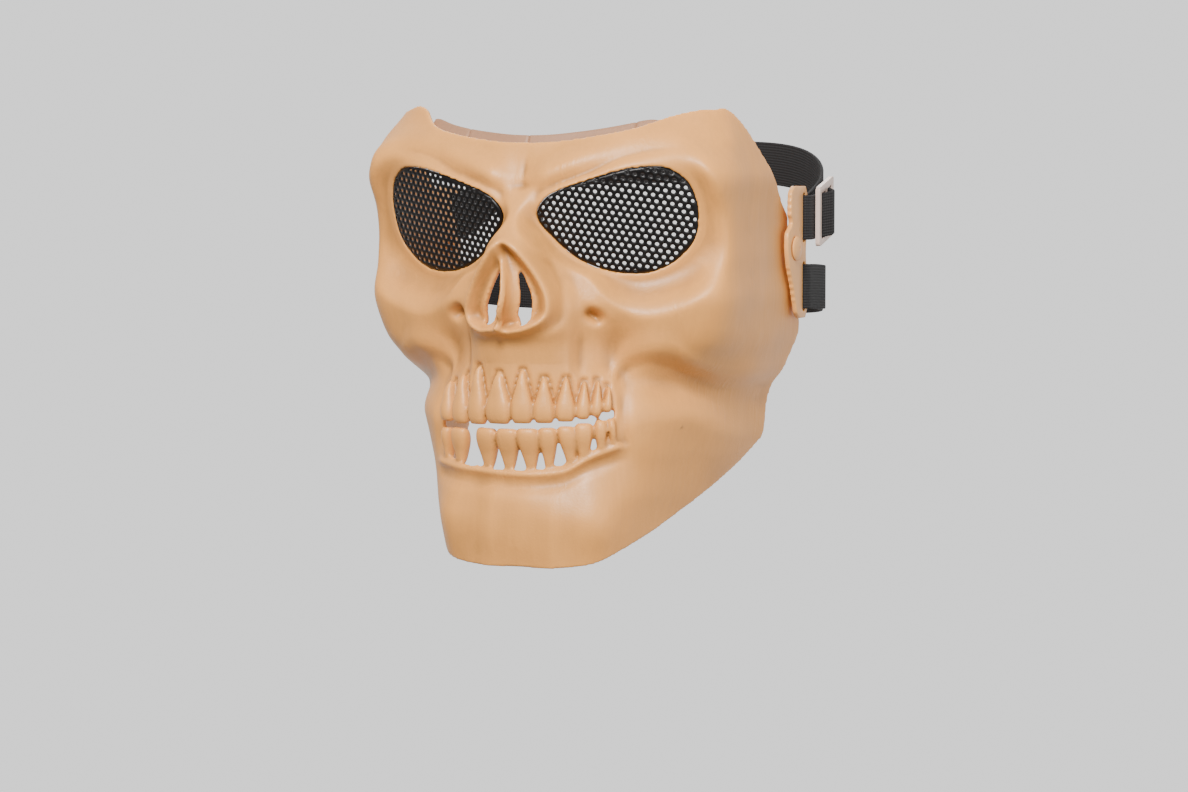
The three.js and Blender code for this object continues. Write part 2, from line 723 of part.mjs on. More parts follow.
// Brackets stand just outside the rear edges. The straps turn inwards some way behind their slots
const bracketSide = () => HALF_WIDTH + BRACKET_STANDOFF;
const slotDepth = () => RIVET_DEPTH + RIVET_SHANK_RADIUS + 3 * SLOT_WIDTH;
const strapStraightEnd = () => slotDepth() + STRAP_STRAIGHT;
const slideStart = () => slotDepth() + SLIDE_FROM_SLOT;
const bracketRear = () => slotDepth() + SLOT_WIDTH / 2 + SLOT_BACK;
const outerRun = () => bracketSide() + BRACKET_THICKNESS + CLEARANCE + STRAP_SEAT * STRAP_THICKNESS;
const innerRun = () => bracketSide() - CLEARANCE - STRAP_SEAT * STRAP_THICKNESS;
const strapHeight = (place) => RIVET_HEIGHT - STRAP_DROP + place * STRAP_SPACING / 2;

function bracketShape() {
  const rear = bracketRear();
  const front = rear - BRACKET_DEPTH;
  const waistRear = rear - BRACKET_WAIST_CUT;
  const middle = strapHeight(0);
  const top = middle + BRACKET_HEIGHT / 2;
  const bottom = middle - BRACKET_HEIGHT / 2;
  const c = BRACKET_CORNER;
  const shape = new THREE.Shape();
  BRACKET_EDGE.forEach(({ rise, cut }, k) => {
    const y = front + cut * BRACKET_DEPTH;
    const z = bottom + rise * BRACKET_HEIGHT;
    if (k) shape.lineTo(y, z);
    else shape.moveTo(y, z);
  });
  shape.lineTo(rear - c, top);
  shape.quadraticCurveTo(rear, top, rear, top - c);
  shape.quadraticCurveTo(rear, middle + c, waistRear, middle);
  shape.quadraticCurveTo(rear, middle - c, rear, bottom + c);
  shape.quadraticCurveTo(rear, bottom, rear - c, bottom);
  shape.closePath();
  for (const place of [-1, 1]) {
    const slot = new THREE.Path();
    const half = STRAP_WIDTH / 2 + STRAP_PLAY;
    const z = strapHeight(place);
    slot.moveTo(slotDepth() - SLOT_WIDTH / 2, z - half);
    slot.lineTo(slotDepth() + SLOT_WIDTH / 2, z - half);
    slot.lineTo(slotDepth() + SLOT_WIDTH / 2, z + half);
    slot.lineTo(slotDepth() - SLOT_WIDTH / 2, z + half);
    slot.closePath();
    shape.holes.push(slot);
  }
  shape.holes.push(roundHole(RIVET_DEPTH, RIVET_HEIGHT, RIVET_SHANK_RADIUS + CLEARANCE, RIVET_SIDES));
  return shape;
}

function buildBracket(sign) {
  const plate = new THREE.ExtrudeGeometry(bracketShape(), {
    depth: BRACKET_THICKNESS, bevelEnabled: false, curveSegments: 5,
  });
  const near = sign > 0 ? bracketSide() : -bracketSide() - BRACKET_THICKNESS;
  return reshape(plate, (point) => new THREE.Vector3(near + point.z, point.x, point.y));
}

// Button rivet: an outer dome, a shank through bracket and wall, and an inner disc
function buildRivet(sign) {
  const shank = RIVET_SHANK_RADIUS;
  const head = RIVET_HEAD_RADIUS;
  const outside = bracketSide() + BRACKET_THICKNESS + CLEARANCE;
  const inside = HALF_WIDTH * 0.97 - WALL - 2 * CLEARANCE;
  const disc = RIVET_DISC_SHARE * head;
  const profile = [
    new THREE.Vector2(0, inside - RIVET_DISC_HEIGHT),
    new THREE.Vector2(disc, inside - RIVET_DISC_HEIGHT),
    new THREE.Vector2(disc, inside),
    new THREE.Vector2(shank, inside),
    new THREE.Vector2(shank, outside),
    new THREE.Vector2(head, outside),
    new THREE.Vector2(head * 0.93, outside + RIVET_HEAD_HEIGHT * 0.55),
    new THREE.Vector2(head * 0.6, outside + RIVET_HEAD_HEIGHT * 0.92),
    new THREE.Vector2(0, outside + RIVET_HEAD_HEIGHT),
  ];
  const rivet = new THREE.LatheGeometry(profile, RIVET_SIDES);
  rivet.rotateZ(-sign * Math.PI / 2);
  rivet.translate(0, RIVET_DEPTH, RIVET_HEIGHT);
  return weld(rivet);
}

// Plan of a strap: from the tail outside a bracket, through its slot, round the back to the other
function tailRoute(withSlide) {
  const outer = outerRun();
  const inner = innerRun();
  const slot = slotDepth();
  const bend = SLOT_BACK / 2 + SLOT_WIDTH / 2;
  const middle = (outer + inner) / 2;
  const reach = (outer - inner) / 2;
  const route = [];
  if (withSlide) {
    const over = outer + SLIDE_THICKNESS + STRAP_THICKNESS + SLIDE_LIFT;
    const bars = slideBars();
    route.push([outer, slot + SLIDE_TAIL_LENGTH]);
    route.push([outer, bars.rear - SLIDE_SLACK]);
    route.push([over, bars.middle + SLIDE_BAR / 2 + SLIDE_SLACK / 3]);
    route.push([over, bars.middle - SLIDE_BAR / 2 - SLIDE_SLACK / 3]);
    route.push([outer, bars.front + SLIDE_SLACK]);
  } else {
    route.push([outer, slot + TAIL_LENGTH]);
  }
  route.push([outer, slot + bend]);
  for (let k = 1; k < LOOP_STEPS; k += 1) {
    const turn = (k / LOOP_STEPS) * Math.PI;
    route.push([middle + reach * Math.cos(turn), slot + bend - bend * Math.sin(turn)]);
  }
  route.push([inner, slot + bend]);
  return { route, inner };
}

// Depths of the three bars of the slide
function slideBars() {
  const front = slideStart() + SLIDE_BORDER;
  const rear = slideStart() + SLIDE_LENGTH - SLIDE_BORDER;
  return { front, rear, middle: (front + rear) / 2 };
}

function strapRoute(slideOnLeft) {
  const left = tailRoute(slideOnLeft);
  const right = tailRoute(false);
  const round = [];
  for (let k = 0; k <= STRAP_STEPS; k += 1) {
    const turn = (k / STRAP_STEPS) * Math.PI;
    round.push([left.inner * Math.cos(turn), strapStraightEnd() + STRAP_ROUND * Math.sin(turn)]);
  }
  const mirrored = right.route.map(([x, y]) => [-x, y]).reverse();
  return [...left.route, ...round, ...mirrored];
}

// A closed ribbon of even thickness round a route
function ribbon(route, thickness) {
  const points = route.map(([x, y]) => new THREE.Vector2(x, y));
  const one = [];
  const other = [];
  points.forEach((point, k) => {
    const before = points[Math.max(k - 1, 0)];
    const after = points[Math.min(k + 1, points.length - 1)];
    const leaving = after.clone().sub(k < points.length - 1 ? point : before).normalize();
    const arriving = k ? point.clone().sub(before).normalize() : leaving;
    const along = arriving.clone().add(leaving).normalize();
    const across = new THREE.Vector2(-along.y, along.x);
    const reach = thickness / 2 / Math.max(across.dot(new THREE.Vector2(-leaving.y, leaving.x)), 0.5);
    one.push(point.clone().addScaledVector(across, reach));
    other.push(point.clone().addScaledVector(across, -reach));
  });
  return new THREE.Shape([...one, ...other.reverse()]);
}

function strapRise(y, rise) {
  return rise * ramp(y, bracketRear(), strapStraightEnd() + STRAP_ROUND);
}

function buildStrap(place, rise, withSlide) {
  const shape = ribbon(strapRoute(withSlide), STRAP_THICKNESS);
  const band = new THREE.ExtrudeGeometry(shape, { depth: STRAP_WIDTH, bevelEnabled: false });
  const foot = strapHeight(place) - STRAP_WIDTH / 2;
  return reshape(band, (point) => point.setZ(foot + point.z + strapRise(point.y, rise)));
}

// Three-bar slide on the upper strap
function buildSlide() {
  const bars = slideBars();
  const windowHeight = STRAP_WIDTH + STRAP_PLAY;
  const height = windowHeight + 2 * SLIDE_BORDER;
  const near = outerRun() + STRAP_THICKNESS / 2 + CLEARANCE;
  const block = (thickness, from, to, tall) => {
    const box = new THREE.BoxGeometry(thickness, to - from, tall);
    box.translate(near + SLIDE_THICKNESS / 2, (from + to) / 2, strapHeight(1));
    return toSolid(box);
  };
  const slide = block(SLIDE_THICKNESS, slideStart(), slideStart() + SLIDE_LENGTH, height)
    .subtract(block(2 * SLIDE_THICKNESS, bars.front, bars.middle - SLIDE_BAR / 2, windowHeight))
    .subtract(block(2 * SLIDE_THICKNESS, bars.middle + SLIDE_BAR / 2, bars.rear, windowHeight));
  return reshape(toGeometry(slide), (point) => point.setZ(point.z + strapRise(point.y, UPPER_RISE)));
}

const bone = new THREE.MeshStandardMaterial({ color: 0xd6b08a, roughness: 0.45, metalness: 0 });
const trimPlastic = new THREE.MeshStandardMaterial({ color: 0xc8ac96, roughness: 0.5, metalness: 0 });
const blackPaint = new THREE.MeshStandardMaterial({ color: 0x1c1a19, roughness: 0.4, metalness: 0.6 });
const bracketPlastic = new THREE.MeshStandardMaterial({ color: 0xdeb287, roughness: 0.4, metalness: 0 });
const webbing = new THREE.MeshStandardMaterial({ color: 0x2d2826, roughness: 0.9, metalness: 0 });
const slidePlastic = new THREE.MeshStandardMaterial({ color: 0xd7beaf, roughness: 0.4, metalness: 0 });

const skullMask = new THREE.Group();
function addPiece(name, geometry, material) {
  const mesh = new THREE.Mesh(geometry, material.clone());
  mesh.name = name;
  skullMask.add(mesh);
}

addPiece('shell', buildShell(), bone);
addPiece('brow_trim', buildTrim(), trimPlastic);
addPiece('eye_mesh_left', buildEyePlate(1), blackPaint);
addPiece('eye_mesh_right', buildEyePlate(-1), blackPaint);
addPiece('strap_bracket_left', buildBracket(1), bracketPlastic);
addPiece('strap_bracket_right', buildBracket(-1), bracketPlastic);
addPiece('bracket_rivet_left', buildRivet(1), bracketPlastic);
addPiece('bracket_rivet_right', buildRivet(-1), bracketPlastic);
addPiece('upper_strap', buildStrap(1, UPPER_RISE, true), webbing);
addPiece('lower_strap', buildStrap(-1, LOWER_RISE, false), webbing);
addPiece('strap_slide', buildSlide(), slidePlastic);

// The origin is the inside of the brow between the eyes
const seat = offsetPoint(0, SEAT_HEIGHT, -WALL);
skullMask.position.set(0, -seat.y, -seat.z);

export default skullMask;
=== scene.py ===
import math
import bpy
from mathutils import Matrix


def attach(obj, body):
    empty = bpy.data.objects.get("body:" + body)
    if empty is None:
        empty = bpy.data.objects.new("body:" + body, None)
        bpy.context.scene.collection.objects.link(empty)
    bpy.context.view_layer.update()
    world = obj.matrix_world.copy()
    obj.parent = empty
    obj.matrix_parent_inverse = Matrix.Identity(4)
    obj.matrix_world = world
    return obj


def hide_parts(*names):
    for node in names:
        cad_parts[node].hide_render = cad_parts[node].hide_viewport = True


bl_info = {
    "name": "Skull mask",
    "version": (1, 0, 0),
    "blender": (4, 5, 0),
    "location": "3D View > Sidebar > Mask",
    "description": "Dresses a rigid skull mask with perforated eye plates and elastic straps",
    "category": "Object",
}

import bmesh
import bpy
import numpy as np
from mathutils import Matrix, Vector

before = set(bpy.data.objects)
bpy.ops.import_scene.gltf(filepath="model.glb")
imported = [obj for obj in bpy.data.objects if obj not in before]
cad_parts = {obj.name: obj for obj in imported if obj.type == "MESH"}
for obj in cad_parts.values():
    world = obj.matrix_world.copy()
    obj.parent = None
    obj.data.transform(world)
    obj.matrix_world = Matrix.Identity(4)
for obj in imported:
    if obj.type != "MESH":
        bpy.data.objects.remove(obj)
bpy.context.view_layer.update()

# Sizes in millimetres. Heights are worked out from the inner corners of the eyes,
# depths from the root of the nose. The seat of the frame lies inside the brow.
MASK_HEIGHT = 216
EYE_LEVEL = 173
HALF_WIDTH = 94
FACE_DEPTH = 134
CLEARANCE = 0.3
SPINE_DEPTH = 62

# Brow and nose
BROW_RISE = 4.5
BROW_SPREAD = 0.037
BROW_FADE = 0.7
NOSE_RISE = 19
NOSE_HALF_WIDTH = 22.5
NOSE_HEIGHT = 43
NOSE_FOOT = -62

# Sockets and eye plates
SOCKET_REACH = 1.22
SOCKET_SLOPE = 0.4
SOCKET_END = 46
EYE_SIDE = 45
EYE_HEIGHT = -9
EYE_REACH = 36
PLATE_DEPTH = 10.5
PLATE_SWEEP = 0.384
PLATE_LEAN = 0.307
PLATE_CURVE_RADIUS = 165
PLATE_THICKNESS = 1.4

# Teeth
ARCH_HALF = 45
BITE_HEIGHT = -105
TOOTH_REACH = 26
TOOTH_PROUD = 2.7
BITE_GAP = 4.2
LOWER_TOOTH_INSET = 0.8

# Forehead strip
TRIM_REACH = 0.46
TRIM_THICKNESS = 1.6
TRIM_SHOWN = 4.4
TRIM_GAP = 1.15
TRIM_HIDDEN = 7
TRIM_END = 0.4
TRIM_FADE = 10
TRIM_ROUNDING = 0.4

# Brackets and rivets
BRACKET_THICKNESS = 2.4
BRACKET_STANDOFF = 0.7
BRACKET_HEIGHT = 65
BRACKET_DEPTH = 28
BRACKET_WAIST_CUT = 2
RIVET_DEPTH = 111.5
RIVET_HEIGHT = -24
RIVET_HEAD_RADIUS = 6
RIVET_HEAD_HEIGHT = 2.4
RIVET_SHANK_RADIUS = 2.6
RIVET_DISC_HEIGHT = 1.4
RIVET_DISC_SHARE = 0.8
RIVET_SIDE = 0.97
RIVET_RIM = 0.3
SLOT_CORNER = 1
RIB_DEPTH = 0.2
BRACKET_CORNER = 2.6
EDGE_ROUNDING = 0.6

# Straps and slide
STRAP_WIDTH = 22
STRAP_THICKNESS = 1.6
STRAP_PLAY = 1
STRAP_SEAT = 0.7
STRAP_DROP = 2
SLOT_WIDTH = 3.2
SLOT_BACK = 3.6
STRAP_SPACING = 34
STRAP_STRAIGHT_END = 155
STRAP_ROUND = 55
TAIL_LENGTH = 26
SLIDE_TAIL_LENGTH = 36
UPPER_RISE = 28
LOWER_RISE = -6
SLIDE_LENGTH = 21
SLIDE_THICKNESS = 2.2
SLIDE_BORDER = 3.2
SLIDE_BAR = 2.4
SLIDE_START = 133
SLIDE_LIFT = 2.4
SLIDE_SLACK = 0.6
SLIDE_CORNER = 2
SLIDE_HOLE_CORNER = 0.8

# Places that follow from the sizes
SEAT_SHIFT = np.array((0, -4.18, -11.10))
BRACKET_SIDE = HALF_WIDTH + BRACKET_STANDOFF
SLOT_DEPTH = RIVET_DEPTH + RIVET_SHANK_RADIUS + 3 * SLOT_WIDTH
OUTER_RUN = BRACKET_SIDE + BRACKET_THICKNESS + CLEARANCE + STRAP_SEAT * STRAP_THICKNESS
NOTCH_DEPTH = SLOT_DEPTH - SLOT_WIDTH / 2
NOTCH_HALF = BRACKET_HEIGHT / 2 - 1.5

# Fine forms of the face
SHELL_WALL = 2.6
NOSE_HOLLOW = 7
NOSE_LIP = 2.2
NOSE_GROOVE = 1.5
PIT_DEPTH = 3.0
PIT_LIP = 0.9
CHEEK_HOLLOW = 3.6
CHEEK_LIP = 0.9
GUM_LEDGE = 1.9
GUM_HOLLOW = 1.1
CANINE_HOLLOW = 4.2
MOUTH_FOLD = 1.6
CHIN_RISE = 1.3
SOCKET_LIP = 0.3
ROOT_GROOVE = 1.9
UNEVENNESS = 0.22
NOSTRIL_REACH = 20
MOUTH_REACH = 40
TOOTH_SWELL = 1.35
LOWER_ROOT_WIDTH = 0.18
HORN_LIFT = 4.2
HORN_ACROSS = -0.545
HORN_SPREAD = 0.1

# Folded rim and perforation of the eye plates
PAN_WALL = 4.5
PAN_MARGIN = -0.35
PAN_BORDER = 0.5
PAN_FOLD = 1.9
PAN_PROUD = 1.5
LATTICE_TURN = 20
HOLE_CORNERS = 12

# Grids of the face, a tooth, the forehead strip and a strap, and the most triangles that the face keeps
FACE_COLUMNS = 540
FACE_ROWS = 320
TOOTH_COLUMNS = 20
TOOTH_ROWS = 12
TRIM_COLUMNS = 240
TRIM_ROWS = 10
STRAP_COLUMNS = 420
MOST_FACES = 190000

# Camera: turn and lift in degrees, distance in millimetres, millimetres to a pixel,
# width of the sensor, pixels of the frame and the pixel of the inner corners of the eyes
VIEW_TURN = 23.5
VIEW_LIFT = 3.8
VIEW_DISTANCE = 1500
VIEW_SCALE = 0.47
SENSOR_WIDTH = 36
FRAME_WIDTH = 1188
FRAME_HEIGHT = 792
EYES_ACROSS = 520.4
EYES_DOWN = 200

# Light of the room in front of the mask and behind it. Lamps: name, place, width and power
ROOM_AHEAD = 0.4
ROOM_BEHIND = 1.25
LAMP_TARGET = (0, 0.03, -0.08)
LAMPS = (
    ("key", (0.30, -1.25, 0.95), 0.5, 56),
    ("fill", (1.5, -0.7, 0.1), 0.9, 7),
    ("back", (-0.6, 1.3, 1.0), 0.8, 8),
)

# Sections across the face, from the horn tips down to the chin.
# level: share of MASK_HEIGHT above the chin
# side: shares of HALF_WIDTH, depth: shares of FACE_DEPTH, from the middle line to the rear edge
SECTIONS = [
    {
        "level": 0.000,
        "side": [0, 0.21, 0.385, 0.48, 0.565, 0.63, 0.66],
        "depth": [-0.035, -0.03, 0.015, 0.11, 0.27, 0.46, 0.655],
    },
    {
        "level": 0.106,
        "side": [0, 0.21, 0.415, 0.52, 0.615, 0.69, 0.725],
        "depth": [-0.06, -0.05, -0.015, 0.095, 0.285, 0.49, 0.71],
    },
    {
        "level": 0.222,
        "side": [0, 0.19, 0.385, 0.575, 0.70, 0.80, 0.83],
        "depth": [-0.035, -0.015, 0.03, 0.14, 0.33, 0.55, 0.785],
    },
    {
        "level": 0.319,
        "side": [0, 0.19, 0.385, 0.615, 0.755, 0.86, 0.895],
        "depth": [-0.075, -0.045, 0.015, 0.14, 0.32, 0.55, 0.835],
    },
    {
        "level": 0.407,
        "side": [0, 0.19, 0.385, 0.64, 0.80, 0.915, 0.935],
        "depth": [-0.075, -0.045, 0.03, 0.15, 0.315, 0.55, 0.88],
    },
    {
        "level": 0.495,
        "side": [0, 0.19, 0.405, 0.71, 0.925, 0.98, 0.97],
        "depth": [-0.065, -0.04, 0.06, 0.135, 0.245, 0.51, 0.99],
    },
    {
        "level": 0.579,
        "side": [0, 0.21, 0.445, 0.745, 0.97, 1.0, 0.98],
        "depth": [-0.05, -0.01, 0.05, 0.12, 0.21, 0.48, 0.955],
    },
    {
        "level": 0.662,
        "side": [0, 0.21, 0.48, 0.765, 0.97, 1.0, 0.98],
        "depth": [-0.02, 0.015, 0.075, 0.135, 0.215, 0.465, 0.895],
    },
    {
        "level": 0.764,
        "side": [0, 0.21, 0.48, 0.775, 0.97, 1.0, 0.98],
        "depth": [0, 0.02, 0.075, 0.15, 0.225, 0.45, 0.85],
    },
    {
        "level": 0.856,
        "side": [0, 0.21, 0.48, 0.765, 0.97, 1.0, 0.98],
        "depth": [0.015, 0.015, 0.05, 0.11, 0.20, 0.45, 0.805],
    },
    {
        "level": 0.930,
        "side": [0, 0.21, 0.48, 0.745, 0.935, 0.97, 0.97],
        "depth": [0.065, 0.075, 0.11, 0.18, 0.275, 0.44, 0.775],
    },
    {
        "level": 1.000,
        "side": [0, 0.21, 0.48, 0.68, 0.85, 0.915, 0.95],
        "depth": [0.12, 0.125, 0.17, 0.23, 0.315, 0.435, 0.745],
    },
]

# Soft dents and swellings, mirrored on both sides.
# side and sideSpread: shares of HALF_WIDTH, level and levelSpread: shares of MASK_HEIGHT,
# rise: share of FACE_DEPTH
SWELLINGS = [
    {
      "name": "pit below the eye",
        "side": 0.39, "level": 0.552, "sideSpread": 0.045, "levelSpread": 0.017, "rise": -0.022,
    },
    {
      "name": "canine hollow",
        "side": 0.5, "level": 0.458, "sideSpread": 0.09, "levelSpread": 0.06, "rise": -0.026,
    },
    {
      "name": "cheekbone",
        "side": 0.77, "level": 0.588, "sideSpread": 0.17, "levelSpread": 0.042, "rise": 0.012,
    },
    {
      "name": "hollow below the cheekbone",
        "side": 0.70, "level": 0.412, "sideSpread": 0.11, "levelSpread": 0.05, "rise": -0.024,
    },
    {
      "name": "jaw muscle band",
        "side": 0.80, "level": 0.30, "sideSpread": 0.07, "levelSpread": 0.09, "rise": 0.012,
    },
]

# Crest line of the brow. side: share of HALF_WIDTH, level: share of MASK_HEIGHT
BROW_LINE = [
    {"side": 0, "level": 0.838},
    {"side": 0.1, "level": 0.852},
    {"side": 0.3, "level": 0.894},
    {"side": 0.48, "level": 0.917},
    {"side": 0.63, "level": 0.926},
    {"side": 0.745, "level": 0.917},
    {"side": 0.85, "level": 0.889},
    {"side": 0.96, "level": 0.847},
]

# Mound of the nose. height: share of NOSE_HEIGHT above NOSE_FOOT,
# rise: share of NOSE_RISE, half: share of NOSE_HALF_WIDTH
NOSE_MOUND = [
    {"height": -0.33, "rise": 0, "half": 1.1},
    {"height": -0.1, "rise": 0.18, "half": 1.08},
    {"height": 0.1, "rise": 0.62, "half": 1.03},
    {"height": 0.33, "rise": 0.9, "half": 0.98},
    {"height": 0.65, "rise": 1, "half": 0.75},
    {"height": 0.93, "rise": 1, "half": 0.53},
    {"height": 1.16, "rise": 0.68, "half": 0.4},
    {"height": 1.35, "rise": 0.37, "half": 0.36},
    {"height": 1.58, "rise": 0.08, "half": 0.36},
    {"height": 1.77, "rise": 0, "half": 0.36},
]

# Outline of an eye. angle: degrees from the outer side upwards, reach: share of EYE_REACH
EYE_OUTLINE = [
    {"angle": 0, "reach": 0.95},
    {"angle": 15, "reach": 0.985},
    {"angle": 30, "reach": 1.0},
    {"angle": 45, "reach": 0.93},
    {"angle": 60, "reach": 0.775},
    {"angle": 75, "reach": 0.66},
    {"angle": 90, "reach": 0.595},
    {"angle": 105, "reach": 0.57},
    {"angle": 120, "reach": 0.585},
    {"angle": 135, "reach": 0.64},
    {"angle": 150, "reach": 0.76},
    {"angle": 165, "reach": 0.93},
    {"angle": 178, "reach": 1.0},
    {"angle": 195, "reach": 0.865},
    {"angle": 210, "reach": 0.78},
    {"angle": 240, "reach": 0.7},
    {"angle": 270, "reach": 0.695},
    {"angle": 300, "reach": 0.77},
    {"angle": 330, "reach": 0.865},
    {"angle": 345, "reach": 0.925},
]

# Teeth. side and half: shares of ARCH_HALF, bite and root: shares of TOOTH_REACH from BITE_HEIGHT
UPPER_TEETH = [
    {"side": -0.90, "half": 0.10, "bite": -0.02, "root": 0.72},
    {"side": -0.68, "half": 0.12, "bite": -0.04, "root": 0.86},
    {"side": -0.44, "half": 0.12, "bite": -0.03, "root": 1.02},
    {"side": -0.16, "half": 0.155, "bite": 0, "root": 0.92},
    {"side": 0.115, "half": 0.117, "bite": 0.02, "root": 0.98},
    {"side": 0.34, "half": 0.11, "bite": 0.03, "root": 0.84},
    {"side": 0.55, "half": 0.10, "bite": 0.06, "root": 0.84},
    {"side": 0.716, "half": 0.07, "bite": 0.1, "root": 0.78},
    {"side": 0.835, "half": 0.053, "bite": 0.15, "root": 0.80},
    {"side": 0.93, "half": 0.044, "bite": 0.22, "root": 0.70},
]

LOWER_TEETH = [
    {"side": -0.95, "half": 0.07, "lean": 0.0, "root": -0.80},
    {"side": -0.745, "half": 0.122, "lean": 0.0, "root": -0.84},
    {"side": -0.36, "half": 0.135, "lean": 0.0, "root": -0.88},
    {"side": -0.088, "half": 0.128, "lean": -0.01, "root": -0.90},
    {"side": 0.154, "half": 0.12, "lean": 0.0, "root": -0.90},
    {"side": 0.364, "half": 0.096, "lean": -0.02, "root": -0.86},
    {"side": 0.547, "half": 0.092, "lean": 0.03, "root": -0.82},
    {"side": 0.727, "half": 0.094, "lean": -0.03, "root": -0.74},
    {"side": 0.878, "half": 0.063, "lean": -0.01, "root": -0.64},
    {"side": 0.97, "half": 0.04, "lean": 0.02, "root": -0.56},
]

# Upper and lower edge of the opening between the jaws.
# side: share of ARCH_HALF, top and bottom: shares of TOOTH_REACH from BITE_HEIGHT
MOUTH_EDGE = [
    {"side": -1.04, "top": 0.0, "bottom": -0.5},
    {"side": -0.92, "top": 0.02, "bottom": -0.66},
    {"side": -0.6, "top": 0.05, "bottom": -0.78},
    {"side": 0.1, "top": 0.08, "bottom": -0.84},
    {"side": 0.5, "top": 0.12, "bottom": -0.72},
    {"side": 0.78, "top": 0.2, "bottom": -0.48},
    {"side": 0.98, "top": 0.27, "bottom": -0.26},
]

# Front edge of a bracket from its foot to its top, with a nose round the rivet.
# rise: share of BRACKET_HEIGHT, cut: share of BRACKET_DEPTH behind the foremost point
BRACKET_EDGE = [
    {"rise": 0, "cut": 0.62},
    {"rise": 0.04, "cut": 0.47},
    {"rise": 0.13, "cut": 0.38},
    {"rise": 0.26, "cut": 0.25},
    {"rise": 0.38, "cut": 0.1},
    {"rise": 0.48, "cut": 0.02},
    {"rise": 0.57, "cut": 0},
    {"rise": 0.65, "cut": 0.03},
    {"rise": 0.69, "cut": 0.16},
    {"rise": 0.73, "cut": 0.23},
    {"rise": 0.78, "cut": 0.16},
    {"rise": 0.88, "cut": 0.16},
    {"rise": 0.96, "cut": 0.2},
    {"rise": 1, "cut": 0.34},
]

TOP_EDGE = [0.928, 0.933, 0.954, 0.986, 1.0, 0.977, 0.764]
BOTTOM_EDGE = [0, 0, 0.01, 0.037, 0.083, 0.157, 0.26]

# Rim of the nose opening and the two nostrils, side and height
NOSE_RIM = [
    (-2, -19), (-8.8, -29), (-16.4, -41), (-20.5, -51), (-19.5, -57), (-13, -61.7), (-5.7, -61.5),
    (2.3, -62.3), (11.2, -59.6), (17, -54.5), (18, -48), (16, -40), (10.2, -29), (4.3, -21),
]
NOSTRILS = [
    [(-4.0, -32.5), (-8.8, -40), (-12.6, -49.5), (-13.0, -57), (-9.0, -57.2), (-5.0, -50), (-3.0, -41)],
    [
        (5.6, -32), (8.8, -36), (11.8, -43.5), (11.8, -51), (9.2, -57.4), (6.4, -57.6), (5.2, -54),
        (7.2, -46), (6.4, -38),
    ],
]

# Ridge between the nostrils, from its foot up
SEPTUM = [
    {"z": -66, "x": -3.2, "rise": 1.5},
    {"z": -61, "x": -2.8, "rise": 5.0},
    {"z": -54, "x": -1.2, "rise": 8.5},
    {"z": -45, "x": 0.6, "rise": 7.6},
    {"z": -36, "x": 0.0, "rise": 5.6},
    {"z": -28, "x": -1.6, "rise": 3.0},
    {"z": -18, "x": -2.4, "rise": 0.0},
]

# Small pits below the eyes: side, height and tilt
PITS = ((35.8, -54.3, -0.6), (-38.0, -53.1, 0.6))

# Lower edge of the cheekbone
CHEEK_EDGE = [
    {"side": 43.4, "height": -85.2},
    {"side": 47.8, "height": -76.4},
    {"side": 54.5, "height": -71.6},
    {"side": 61.3, "height": -70.1},
    {"side": 69.7, "height": -72.1},
    {"side": 75.8, "height": -78.3},
    {"side": 80.7, "height": -82.9},
    {"side": 90.0, "height": -84.0},
]

# Ledge of the lower gum
GUM_LINE = [
    {"side": -46.5, "height": -124.6},
    {"side": -29.0, "height": -126.6},
    {"side": 3.9, "height": -128.3},
    {"side": 22.8, "height": -126.5},
    {"side": 34.7, "height": -119.8},
    {"side": 45.3, "height": -115.2},
]

# Soft dents and swellings: side, height, their spreads and the rise. Both: the same on the other side
SOFT_FORMS = [
    {"side": 1.0, "height": 6.5, "wide": 5.0, "tall": 2.0, "rise": -1.3, "both": False},
    {"side": 0.8, "height": 12, "wide": 1.8, "tall": 7, "rise": -0.9, "both": False},
    {"side": 24, "height": -60, "wide": 5, "tall": 16, "rise": -0.8, "both": True},
    {"side": 33, "height": -76, "wide": 5, "tall": 14, "rise": 0.8, "both": True},
    {"side": -76, "height": 25, "wide": 15, "tall": 12, "rise": 6.5, "both": False},
]

# Width and depth of a tooth from its biting edge to the tip of its root
TOOTH_FORM = [
    {"along": 0, "width": 0.76, "depth": 0.6},
    {"along": 0.06, "width": 0.91, "depth": 0.88},
    {"along": 0.22, "width": 1.0, "depth": 1.06},
    {"along": 0.4, "width": 0.93, "depth": 1.02},
    {"along": 0.56, "width": 0.74, "depth": 0.86},
    {"along": 0.74, "width": 0.5, "depth": 0.74},
    {"along": 0.9, "width": 0.32, "depth": 0.5},
    {"along": 1, "width": 0.14, "depth": 0.1},
]

# Partings of the forehead strip
TRIM_PARTINGS = (-36.0, -2.0, 50.0)
PARTING_WIDTH = 0.6
PARTING_DEPTH = 0.8


def curve(values, t):
    """Smooth curve through evenly numbered rows, with mirrored first and last steps"""
    rows = np.asarray(values, dtype=float)
    padded = np.concatenate([[2 * rows[0] - rows[1]], rows, [2 * rows[-1] - rows[-2]]])
    k = np.clip(np.floor(t), 0, len(rows) - 2).astype(int)
    f = (t - k).reshape(np.shape(t) + (1,) * (rows.ndim - 1))
    a, b, c, d = padded[k], padded[k + 1], padded[k + 2], padded[k + 3]
    return b + 0.5 * f * (c - a + f * (2 * a - 5 * b + 4 * c - d + f * (3 * (b - c) + d - a)))


